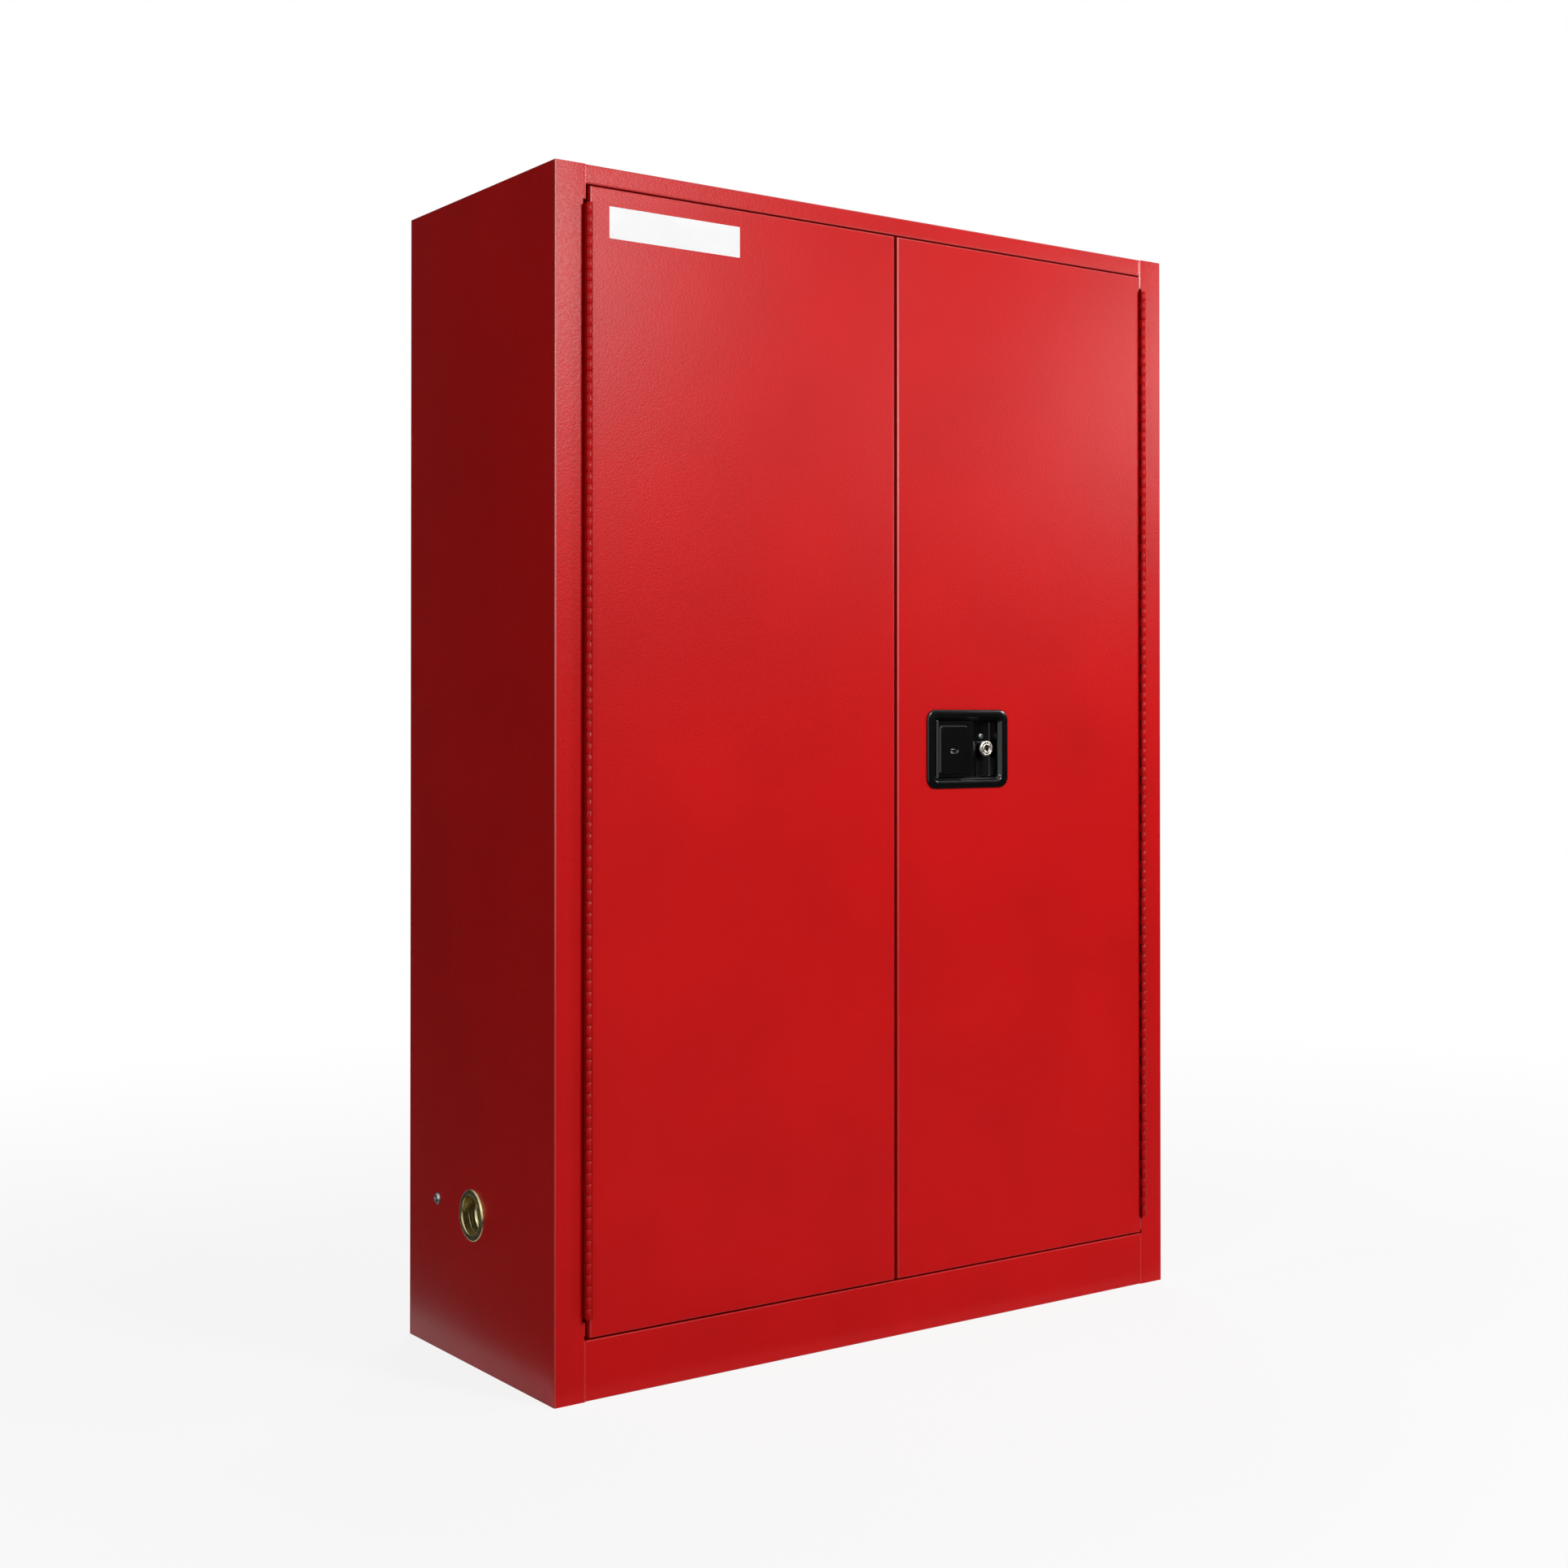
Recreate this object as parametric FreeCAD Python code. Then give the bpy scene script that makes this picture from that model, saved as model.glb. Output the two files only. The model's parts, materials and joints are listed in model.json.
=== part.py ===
import FreeCAD, Part
import math
import os

# Combustible storage cabinet: a double-wall sheet steel body, two doors on continuous hinges,
# a recessed paddle latch with a key lock and three bolts, two lift-out shelves over a sump,
# two vent fittings, an earthing screw and four levelling feet.
# The origin is the bottom centre of the body, X to the right, the front at -Y, Z up, millimetres.

# Body
width = 1092.0
depth = 457.0
height = 1650.0
sheet = 1.2
air_gap = 38.0
bend = 2.5
stile_width = 46.0
stile_lip = 6.0
header_height = 26.0
base_height = 81.5
flange = 18.0
stop_setback = 38.5
stop_overlap = 12.0
stop_depth = 15.0
sill_stop_height = 12.0
relief_width = 2.0
relief_height = 6.5

# Sump and floor
sump_depth = 50.0
floor_height = 20.0
bead_width = 60.0
bead_spacing = 300.0

# Doors
door_proud = 5.0
door_thickness = 40.0
door_side_gap = 4.0
door_end_gap = 3.5
centre_gap = 6.0
centre_offset = 9.3
door_flange = 12.0

# Continuous hinges
hinge_axis_inset = 0.2
hinge_axis_proud = 8.5
barrel_diameter = 8.4
hinge_pin_diameter = 3.4
pin_clearance = 0.05
leaf_thickness = 1.4
leaf_reach = 32.0
leaf_clearance = 0.8
barrel_bottom = 111.5
barrel_top = 1597.0
knuckle_length = 75.0
knuckle_clearance = 0.4
barrel_sides = 12
bore_sides = 8
frame_notch_margin = 5.5
frame_notch_depth = 5.0
door_notch_margin = 2.0
door_notch_width = 3.0
door_notch_depth = 8.0

# Shelves and their supports
standard_width = 25.0
standard_depth = 12.0
standard_bottom = 100.0
standard_top = 1590.0
standard_front_gap = 10.5
standard_back_gap = 23.6
slot_height = 16.0
slot_width = 5.0
slot_pitch = 82.0
rail_height = 26.0
rail_reach = 22.0
shelf_slots = (5, 11)
shelf_above_slot = 19.0
rail_inset = 2.0
shelf_side_gap = 19.6
shelf_front_gap = 24.0
shelf_back_gap = 10.1
shelf_flange = 30.0
shelf_lip = 10.0

# Vent fittings
vent_height = 211.5
vent_setback = 244.5
vent_flange_diameter = 73.5
vent_flange_thickness = 4.7
vent_edge = 1.0
vent_bore = 55.0
vent_inner_bore = 49.0
vent_bore_depth = 29.0
vent_tube_diameter = 60.3
vent_hole_clearance = 0.4
vent_ring_diameter = 78.0
vent_ring_thickness = 5.0
ring_notches = 6
notch_width = 6.0
notch_depth = 3.0
vent_tube_projection = 8.0
screen_thickness = 1.0
screen_hole = 6.4
screen_pitch = 9.0

# Earthing screw
earth_height = 216.0
earth_setback = 358.5
earth_head_diameter = 14.0
earth_head_height = 4.6
earth_shank_diameter = 6.0
earth_nut_size = 12.0
earth_nut_thickness = 5.0

# Levelling feet
foot_channel_width = 44.0
foot_channel_lip = 6.0
foot_setback = 45.0
foot_pad_width = 26.0
foot_pad_thickness = 6.0
foot_lift = 0.5
foot_stud_diameter = 10.0
foot_stud_length = 46.0
foot_nut_size = 17.0
foot_nut_thickness = 8.0
stud_clearance = 0.08

# Paddle latch dish
latch_x = 142.2
latch_z = 863.5
bezel_width = 154.0
bezel_height = 118.5
bezel_radius = 16.0
bezel_thickness = 3.5
bezel_edge = 2.2
mouth_width = 126.5
mouth_height = 94.5
mouth_radius = 10.0
dish_width = 120.4
dish_height = 86.0
dish_radius = 4.0
dish_wall = 1.5
dish_shoulder = 5.3
dish_depth = 24.5
skin_cut_clearance = 1.2

# Paddle
paddle_pivot_x = 90.5
paddle_pivot_back = 11.0
paddle_nose_radius = 7.0
paddle_height = 84.0
paddle_wall = 2.5
paddle_corner_x = 154.0
paddle_lip_x = 163.0
paddle_lip_back = 9.5
paddle_bend = 16.0
paddle_web = 2.2
paddle_field_width = 54.0
paddle_field_height = 75.0
paddle_field_radius = 6.0
paddle_field_rise = 1.2
paddle_field_x = 116.5
paddle_field_drop = 1.5
paddle_pin_diameter = 5.0
tail_thickness = 3.0
tail_height = 10.0
tail_slot_width = 20.0

# Latch mechanism behind the dish
rotor_thickness = 3.0
rotor_gap = 2.6
rotor_hub_diameter = 22.0
rotor_arm_width = 11.0
rotor_rest_angle = 20.0
rod_crank = 24.0
bolt_crank = 22.0
crank_pin_diameter = 5.0
crank_pin_length = 4.2
shaft_diameter = 7.0
layer_gap = 0.4
yoke_thickness = 3.0
yoke_height = 12.0
yoke_end = 3.4
slot_clearance = 0.3
rod_diameter = 6.0
rod_tip_edge = 1.0
rod_bore_clearance = 0.35
tip_clearance = 1.0
keeper_bore = 9.0
bolt_height = 12.0
bolt_thickness = 4.0
bolt_tip_reach = 4.0
bolt_rise = 0.7
lug_thickness = 3.0
lug_gap = 0.5
keeper_plate_width = 16.0
keeper_plate_height = 46.0

# Key lock
lock_x = 184.4
lock_face_back = 8.5
lock_barrel_diameter = 25.0
lock_body_diameter = 19.0
lock_plug_diameter = 15.0
plug_clearance = 0.08
lock_length = 29.5
lock_edge = 1.6
lock_nut_size = 24.0
lock_nut_thickness = 2.2
cam_thickness = 2.0
cam_length = 18.0
cam_width = 9.0
keyway_width = 2.2
keyway_height = 8.5
keyway_depth = 9.0
dish_screw_offset = 18.8
dish_screw_head = 9.0
dish_screw_head_height = 2.6
dish_screw_diameter = 5.0

# Cover over the latch on the inner skin of the right door
access_width = 150.0
access_height = 110.0
cover_margin = 18.0
cover_thickness = 1.2

# Derived planes and heights
half_width = width / 2
front_y = -depth / 2
back_y = depth / 2
opening_half = half_width - stile_width
opening_top = height - header_height
stop_y = front_y + stop_setback
wall = sheet + air_gap
liner_half = half_width - wall - sheet
liner_back = back_y - wall - sheet
liner_top = height - wall - sheet
sump_floor = base_height - sump_depth
door_face = front_y - door_proud
door_back = door_face + door_thickness
door_half = opening_half - door_side_gap
door_bottom = base_height + door_end_gap
door_top = opening_top - door_end_gap
left_door_edge = centre_offset - centre_gap / 2
right_door_edge = centre_offset + centre_gap / 2
hinge_x = opening_half + hinge_axis_inset
hinge_y = front_y - hinge_axis_proud
barrel_radius = barrel_diameter / 2
stop_half = opening_half - stop_overlap
standard_front = stop_y + stop_depth + standard_front_gap + standard_width / 2
standard_back = liner_back - standard_back_gap - standard_width / 2
shelf_half_width = liner_half - shelf_side_gap
shelf_front = stop_y + shelf_front_gap
shelf_back = liner_back - shelf_back_gap
vent_y = front_y + vent_setback
earth_y = front_y + earth_setback
right_vent_height = height - vent_height
dish_face = door_face - bezel_thickness
dish_floor = dish_face + dish_depth
dish_rear = dish_floor + dish_wall
pivot_y = dish_face + paddle_pivot_back
paddle_face = pivot_y - paddle_nose_radius
rotor_front = dish_rear + rotor_gap
rotor_back = rotor_front + rotor_thickness
yoke_front = rotor_back + layer_gap
rod_y = yoke_front + rod_diameter / 2
bolt_z = latch_z + bolt_crank * math.cos(math.radians(rotor_rest_angle)) + bolt_rise
lock_face = dish_face + lock_face_back
lock_end = lock_face + lock_length
foot_x = half_width - sheet - foot_channel_width / 2


def vec(x, y, z):
    return FreeCAD.Vector(x, y, z)


def box(x0, x1, y0, y1, z0, z1):
    return Part.makeBox(x1 - x0, y1 - y0, z1 - z0, vec(x0, y0, z0))


def rod(x, y, z, radius, length, axis):
    """A cylinder that starts at the given point and runs along the axis."""
    return Part.makeCylinder(radius, length, vec(x, y, z), axis)


def fuse(shapes):
    first = shapes[0]
    if len(shapes) > 1:
        first = first.multiFuse(shapes[1:])
    return first.removeSplitter()


def cut(shape, tools):
    return shape.cut(tools).removeSplitter()


def mirrored(shape):
    """The same piece for the other side of the cabinet."""
    return shape.mirror(vec(0, 0, 0), vec(1, 0, 0))


def unit(a, b):
    length = math.hypot(b[0] - a[0], b[1] - a[1])
    return ((b[0] - a[0]) / length, (b[1] - a[1]) / length)


def offset_path(path, distance):
    """The path moved to its left by a distance, with mitred corners."""
    moved = []
    last = len(path) - 1
    for i, point in enumerate(path):
        before = unit(path[i - 1], point) if i > 0 else unit(point, path[i + 1])
        after = unit(point, path[i + 1]) if i < last else before
        nx = -before[1] - after[1]
        ny = before[0] + after[0]
        scale = distance / (1 + before[0] * after[0] + before[1] * after[1])
        moved.append((point[0] + nx * scale, point[1] + ny * scale))
    return moved


def rounded_edges(path, radii, place):
    """Lines along a path, with an arc of the given radius at each inner corner."""
    edges = []
    start = path[0]
    for i in range(1, len(path) - 1):
        before = unit(path[i - 1], path[i])
        after = unit(path[i], path[i + 1])
        turn = math.acos(max(-1.0, min(1.0, before[0] * after[0] + before[1] * after[1])))
        reach = radii[i] * math.tan(turn / 2)
        enter = (path[i][0] - before[0] * reach, path[i][1] - before[1] * reach)
        leave = (path[i][0] + after[0] * reach, path[i][1] + after[1] * reach)
        middle_x = (after[0] - before[0]) / 2
        middle_y = (after[1] - before[1]) / 2
        size = math.hypot(middle_x, middle_y)
        sag = radii[i] * (1 / math.cos(turn / 2) - 1)
        top = (path[i][0] + middle_x / size * sag, path[i][1] + middle_y / size * sag)
        edges.append(Part.LineSegment(place(start), place(enter)).toShape())
        edges.append(Part.Arc(place(enter), place(top), place(leave)).toShape())
        start = leave
    edges.append(Part.LineSegment(place(start), place(path[-1])).toShape())
    return edges


def folded_sheet(path, thickness, radius, place, direction):
    """A folded sheet: a path of its visible face, thickened to the left, extruded."""
    other = offset_path(path, thickness)
    near = [0.0] * len(path)
    far = [0.0] * len(path)
    for i in range(1, len(path) - 1):
        before = unit(path[i - 1], path[i])
        after = unit(path[i], path[i + 1])
        turns_left = before[0] * after[1] - before[1] * after[0] > 0
        near[i] = radius if turns_left else max(radius - thickness, 0.1)
        far[i] = max(radius - thickness, 0.1) if turns_left else radius
    edges = rounded_edges(path, near, place)
    edges.append(Part.LineSegment(place(path[-1]), place(other[-1])).toShape())
    back = rounded_edges(list(reversed(other)), list(reversed(far)), place)
    edges.extend(back)
    edges.append(Part.LineSegment(place(other[0]), place(path[0])).toShape())
    return Part.Face(Part.Wire(edges)).extrude(direction)


def plan_sheet(path, z0, z1, radius=bend, thickness=sheet):
    """A folded sheet whose section lies in plan, standing from z0 to z1."""
    return folded_sheet(path, thickness, radius, lambda p: vec(p[0], p[1], z0), vec(0, 0, z1 - z0))


def side_sheet(path, x0, x1, radius=bend, thickness=sheet):
    """A folded sheet whose section (y, z) is seen from the side, from x0 to x1."""
    return folded_sheet(path, thickness, radius, lambda p: vec(x0, p[0], p[1]), vec(x1 - x0, 0, 0))


def front_sheet(path, y0, y1, radius=bend, thickness=sheet):
    """A folded sheet whose section (x, z) is seen from the front, from y0 to y1."""
    return folded_sheet(path, thickness, radius, lambda p: vec(p[0], y0, p[1]), vec(0, y1 - y0, 0))


def prism(points, direction):
    """A straight prism on a polygon of (x, y, z) points."""
    corners = [vec(*p) for p in points]
    corners.append(corners[0])
    return Part.Face(Part.makePolygon(corners)).extrude(direction)


def rounded_rectangle(cx, cz, w, h, radius, y):
    """A wire in the plane of the door, with round corners."""
    x0, x1 = cx - w / 2, cx + w / 2
    z0, z1 = cz - h / 2, cz + h / 2
    k = radius * (1 - math.sqrt(0.5))
    corners = (
        ((x1 - radius, z0), (x1 - k, z0 + k), (x1, z0 + radius)),
        ((x1, z1 - radius), (x1 - k, z1 - k), (x1 - radius, z1)),
        ((x0 + radius, z1), (x0 + k, z1 - k), (x0, z1 - radius)),
        ((x0, z0 + radius), (x0 + k, z0 + k), (x0 + radius, z0)),
    )
    edges = []
    for i, corner in enumerate(corners):
        a, b, c = (vec(p[0], y, p[1]) for p in corner)
        following = corners[(i + 1) % 4][0]
        edges.append(Part.Arc(a, b, c).toShape())
        edges.append(Part.LineSegment(c, vec(following[0], y, following[1])).toShape())
    return Part.Wire(edges)


def rounded_plate(cx, cz, w, h, radius, y0, y1):
    return Part.Face(rounded_rectangle(cx, cz, w, h, radius, y0)).extrude(vec(0, y1 - y0, 0))


def regular_prism(sides, inner_radius, x, y, z, length):
    """An upright prism with flat sides that touch a circle of the inner radius."""
    outer = inner_radius / math.cos(math.pi / sides)
    points = []
    for i in range(sides):
        angle = 2 * math.pi * (i + 0.5) / sides
        points.append((x + outer * math.cos(angle), y + outer * math.sin(angle), z))
    return prism(points, vec(0, 0, length))


def hexagon(x, y, z, across_flats, direction):
    """A nut blank that starts at a point and runs along X, Y or Z."""
    outer = across_flats / math.sqrt(3)
    points = []
    for i in range(6):
        angle = math.pi * i / 3
        a = outer * math.cos(angle)
        b = outer * math.sin(angle)
        if direction.x:
            points.append((x, y + a, z + b))
        elif direction.y:
            points.append((x + a, y, z + b))
        else:
            points.append((x + a, y + b, z))
    return prism(points, direction)


def side_panel():
    """The left side with its stile, return lip, hinge notch and holes."""
    path = [
        (-half_width + flange, back_y),
        (-half_width, back_y),
        (-half_width, front_y),
        (-opening_half, front_y),
        (-opening_half, front_y + stile_lip),
    ]
    # the path runs so that the inside of the cabinet is on its left
    panel = plan_sheet(path, 0, height)
    notch = box(
        -opening_half - frame_notch_depth, -opening_half + sheet,
        front_y - sheet, front_y + stile_lip + sheet,
        barrel_bottom - frame_notch_margin, barrel_top + frame_notch_margin + leaf_clearance,
    )
    relief = box(
        -opening_half - relief_width, -opening_half + sheet,
        front_y - sheet, front_y + stile_lip + sheet,
        base_height, base_height + relief_height,
    )
    lip_top = box(
        -opening_half - sheet, -opening_half + sheet,
        front_y + bend, front_y + stile_lip + sheet, opening_top, height,
    )
    lip_bottom = box(
        -opening_half - sheet, -opening_half + sheet,
        front_y + bend, front_y + stile_lip + sheet, 0, base_height,
    )
    return cut(panel, [notch, relief, lip_top, lip_bottom])


def vent_hole(z):
    radius = vent_tube_diameter / 2 + vent_hole_clearance
    return rod(-half_width - sheet, vent_y, z, radius, air_gap + 6 * sheet, vec(1, 0, 0))


def left_side_panel():
    earth = rod(
        -half_width - sheet, earth_y, earth_height,
        earth_shank_diameter / 2 + vent_hole_clearance, 3 * sheet, vec(1, 0, 0),
    )
    return cut(side_panel(), [vent_hole(vent_height), earth])


def right_side_panel():
    return mirrored(cut(side_panel(), [vent_hole(right_vent_height)]))


def back_panel():
    inner = half_width - bend - pin_clearance
    return box(-inner, inner, back_y - 2 * sheet, back_y - sheet, 0, height - sheet)


def top_panel():
    """The top with its back flange, and the header folded down and back over the doors."""
    path = [
        (back_y - 2 * sheet, height - flange),
        (back_y - 2 * sheet, height),
        (front_y, height),
        (front_y, opening_top),
        (stop_y, opening_top),
    ]
    inner = half_width - sheet
    panel = side_sheet(path, -inner, inner)
    trims = []
    for side in (-1, 1):
        x0, x1 = sorted((side * opening_half, side * width))
        trims.append(box(x0, x1, front_y - sheet, front_y + sheet, 0, height + sheet))
        x0, x1 = sorted((side * liner_half, side * width))
        trims.append(box(x0, x1, front_y - sheet, back_y / 2, 0, height - 2 * sheet))
        x0, x1 = sorted((side * opening_half, side * width))
        trims.append(box(x0, x1, front_y - sheet, front_y + stile_lip, 0, height - 2 * sheet))
    panel = cut(panel, trims)
    keeper = rod(latch_x + crank_x(), rod_y, opening_top - sheet, keeper_bore / 2, 4 * sheet, vec(0, 0, 1))
    return cut(panel, [keeper])


def top_door_stop():
    """An angle behind the header that the doors close against."""
    path = [
        (stop_y, opening_top + sheet),
        (stop_y, liner_top - sheet),
        (stop_y + flange, liner_top - sheet),
    ]
    return side_sheet(path, -liner_half, liner_half)


def base_rail():
    """The bottom rail, folded over the sill, up into the door stop and down into the sump."""
    path = [
        (stop_y + stop_depth, base_height - flange),
        (stop_y + stop_depth, base_height + sill_stop_height),
        (stop_y, base_height + sill_stop_height),
        (stop_y, base_height),
        (front_y, base_height),
        (front_y, 0),
        (front_y + flange, 0),
    ]
    rail = side_sheet(path, -liner_half, liner_half)
    trims = []
    for side in (-1, 1):
        x0, x1 = sorted((side * opening_half, side * width))
        trims.append(box(x0, x1, front_y - sheet, front_y + stile_lip, -sheet, base_height + sheet))
        x0, x1 = sorted((side * (liner_half - sheet), side * width))
        trims.append(box(x0, x1, front_y - sheet, stop_y + sheet, -sheet, height))
    x = latch_x - crank_x()
    keeper = rod(x, rod_y, base_height - 2 * sheet, keeper_bore / 2, 4 * sheet, vec(0, 0, 1))
    return cut(rail, trims + [keeper])


def bottom_panel():
    """The outer floor, with beads pressed up to carry the sump."""
    inner = half_width - sheet
    half_bead = bead_width / 2
    path = [(inner, floor_height)]
    for centre in (bead_spacing, 0.0, -bead_spacing):
        path.append((centre + half_bead + bend, floor_height))
        path.append((centre + half_bead - bend, sump_floor - sheet))
        path.append((centre - half_bead + bend, sump_floor - sheet))
        path.append((centre - half_bead - bend, floor_height))
    path.append((-inner, floor_height))
    panel = front_sheet(path, front_y + sheet, back_y - 2 * sheet, 2 * sheet)
    holes = []
    for x, y in foot_places():
        radius = foot_stud_diameter / 2 + sheet
        holes.append(rod(x, y, floor_height - 3 * sheet, radius, 6 * sheet, vec(0, 0, 1)))
    return cut(panel, holes)


def inner_liner():
    """One sheet folded round the sides and the back of the inside."""
    path = [
        (-liner_half, front_y + sheet),
        (-liner_half, liner_back),
        (liner_half, liner_back),
        (liner_half, front_y + sheet),
    ]
    liner = plan_sheet(path, sump_floor - sheet, liner_top)
    holes = [vent_hole(vent_height), mirrored(vent_hole(right_vent_height))]
    return cut(liner, holes)


def inner_ceiling():
    outer = liner_half + sheet
    front = stop_y + bend + pin_clearance
    return box(-outer, outer, front, liner_back + sheet, liner_top, liner_top + sheet)


def sump_tray():
    """A welded pan that holds spills, under the lowest shelf."""
    front = stop_y + stop_depth
    outer = box(-liner_half, liner_half, front, liner_back, sump_floor - sheet, base_height)
    corners = [e for e in outer.Edges if abs(e.Vertexes[0].Z - e.Vertexes[1].Z) > sheet]
    outer = outer.makeFillet(bend + sheet, corners)
    inner = box(
        -liner_half + sheet, liner_half - sheet, front + sheet, liner_back - sheet,
        sump_floor, base_height + sheet,
    )
    uprights = [e for e in inner.Edges if abs(e.Vertexes[0].Z - e.Vertexes[1].Z) > sheet]
    return cut(outer, [inner.makeFillet(bend, uprights)])


def jamb():
    """The left jamb: a post for the hinge leaf, the door stop and a return to the liner."""
    post = liner_half - sheet
    path = [
        (-post, front_y + sheet),
        (-post, stop_y),
        (-stop_half, stop_y),
        (-stop_half, stop_y + stop_depth),
        (-liner_half, stop_y + stop_depth),
    ]
    stop = plan_sheet(path, base_height + sill_stop_height, liner_top - sheet)
    ends = box(-liner_half, -post, front_y + sheet, stop_y, base_height, opening_top)
    return fuse([stop, ends])


def slot_bottom(index):
    return standard_bottom + slot_pitch * (index + 0.5)


def standard(y):
    """A slotted upright channel for the shelf rails, on the left side."""
    x0 = -liner_half
    x1 = x0 + standard_depth
    y0 = y - standard_width / 2
    y1 = y + standard_width / 2
    path = [(x0, y0), (x1, y0), (x1, y1), (x0, y1)]
    channel = plan_sheet(path, standard_bottom, standard_top, bend, sheet)
    slots = []
    count = int((standard_top - standard_bottom - slot_pitch) / slot_pitch) + 1
    for i in range(count):
        z = slot_bottom(i)
        slots.append(box(
            x1 - 2 * sheet, x1 + sheet, y - slot_width / 2, y + slot_width / 2, z, z + slot_height,
        ))
    return cut(channel, slots)


def shelf_level(slot):
    return slot_bottom(slot) + shelf_above_slot


def shelf_rail(slot):
    """An angle on the left side that hooks into a slot of the front and the back standard."""
    x0 = -liner_half + standard_depth
    y0 = standard_front - standard_width / 2 + rail_inset
    y1 = standard_back + standard_width / 2 - rail_inset
    top = shelf_level(slot) - sheet
    path = [(x0, top - rail_height), (x0, top), (x0 + rail_reach, top)]
    rail = folded_sheet(
        list(reversed(path)), sheet, bend, lambda p: vec(p[0], y0, p[1]), vec(0, y1 - y0, 0),
    )
    parts = [rail]
    z = slot_bottom(slot)
    hook_half = slot_width / 2 - layer_gap
    for y in (standard_front, standard_back):
        parts.append(box(
            x0 - 2 * sheet - layer_gap, x0 + sheet / 2, y - hook_half, y + hook_half, z, z + slot_height / 2,
        ))
    return fuse(parts)


def shelf(slot):
    """A shelf pan: flanges turned down at the front and the back, lips turned up at the ends."""
    level = shelf_level(slot)
    path = [
        (shelf_back, level - shelf_flange),
        (shelf_back, level),
        (shelf_front, level),
        (shelf_front, level - shelf_flange),
        (shelf_front + flange / 2, level - shelf_flange),
    ]
    deck = side_sheet(path, -shelf_half_width, shelf_half_width)
    lips = []
    for side in (-1, 1):
        x0, x1 = sorted((side * shelf_half_width, side * (shelf_half_width - sheet)))
        lips.append(box(x0, x1, shelf_front + bend, shelf_back - bend, level - sheet, level + shelf_lip))
    return fuse([deck] + lips)


def vent_fitting(z):
    """A flanged brass tube through the left wall, whose bore steps down inside."""
    x0 = -half_width - vent_flange_thickness
    x1 = -liner_half + vent_tube_projection
    axis = vec(1, 0, 0)
    rim = rod(x0, vent_y, z, vent_flange_diameter / 2, vent_flange_thickness, axis)
    rim = rim.makeChamfer(vent_edge, [e for e in rim.Edges if abs(e.CenterOfMass.x - x0) < 0.1])
    tube = rod(x0 + 1, vent_y, z, vent_tube_diameter / 2, x1 - x0 - 1, axis)
    bore = rod(x0 - 1, vent_y, z, vent_bore / 2, vent_bore_depth + 1, axis)
    narrow = rod(x0, vent_y, z, vent_inner_bore / 2, x1 - x0 + 1, axis)
    return cut(fuse([rim, tube]), [bore, narrow])


def vent_ring(z):
    """The lock ring that clamps the fitting to the inner liner."""
    axis = vec(1, 0, 0)
    radius = vent_ring_diameter / 2
    bore = vent_tube_diameter / 2 + pin_clearance
    ring = rod(-liner_half, vent_y, z, radius, vent_ring_thickness, axis)
    hole = rod(-liner_half - 1, vent_y, z, bore, vent_ring_thickness + 2, axis)
    notches = []
    for i in range(ring_notches):
        notch = box(
            -liner_half - 1, -liner_half + vent_ring_thickness + 1,
            vent_y - notch_width / 2, vent_y + notch_width / 2,
            z + radius - notch_depth, z + radius + notch_depth,
        )
        notch.rotate(vec(0, vent_y, z), axis, 360.0 * i / ring_notches)
        notches.append(notch)
    return cut(ring, [hole] + notches)


def flame_screen(z):
    """A round perforated screen pressed into the inner end of the bore."""
    radius = vent_inner_bore / 2
    x1 = -liner_half + vent_tube_projection
    screen = rod(x1 - screen_thickness, vent_y, z, radius, screen_thickness, vec(1, 0, 0))
    reach = radius - screen_hole
    steps = int(reach / screen_pitch)
    holes = []
    for i in range(-steps, steps + 1):
        for j in range(-steps, steps + 1):
            dy = i * screen_pitch
            dz = j * screen_pitch
            if math.hypot(dy, dz) <= reach:
                holes.append(box(
                    x1 - 2 * screen_thickness, x1 + screen_thickness,
                    vent_y + dy - screen_hole / 2, vent_y + dy + screen_hole / 2,
                    z + dz - screen_hole / 2, z + dz + screen_hole / 2,
                ))
    return cut(screen, holes)


def earthing_screw():
    """A pan head screw from outside through the left side panel."""
    x0 = -half_width - earth_head_height
    head = rod(x0, earth_y, earth_height, earth_head_diameter / 2, earth_head_height, vec(1, 0, 0))
    length = earth_nut_thickness + 3 * sheet
    shank = rod(-half_width, earth_y, earth_height, earth_shank_diameter / 2, length, vec(1, 0, 0))
    return fuse([head, shank])


def earthing_nut():
    x0 = -half_width + sheet
    nut = hexagon(x0, earth_y, earth_height, earth_nut_size, vec(earth_nut_thickness, 0, 0))
    bore = rod(x0 - 1, earth_y, earth_height, earth_shank_diameter / 2, earth_nut_thickness + 2, vec(1, 0, 0))
    return cut(nut, [bore])


def foot_places():
    places = []
    for x in (-foot_x, foot_x):
        for y in (front_y + foot_setback, back_y - foot_setback):
            places.append((x, y))
    return places


def foot_channel():
    """A channel under the left end of the floor, with a welded nut for each foot."""
    x0 = -half_width + sheet
    x1 = x0 + foot_channel_width
    top = floor_height - sheet
    path = [
        (x1 - foot_channel_lip, 0),
        (x1, 0),
        (x1, top),
        (x0, top),
        (x0, 0),
        (x0 + foot_channel_lip, 0),
    ]
    channel = front_sheet(path, front_y + sheet + flange, back_y - 2 * sheet)
    parts = [channel]
    holes = []
    for x, y in foot_places()[:2]:
        z = top - sheet - foot_nut_thickness
        parts.append(hexagon(x, y, z, foot_nut_size, vec(0, 0, foot_nut_thickness + sheet / 2)))
        holes.append(rod(x, y, 0, foot_stud_diameter / 2 + stud_clearance, floor_height, vec(0, 0, 1)))
    return cut(fuse(parts), holes)


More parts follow.
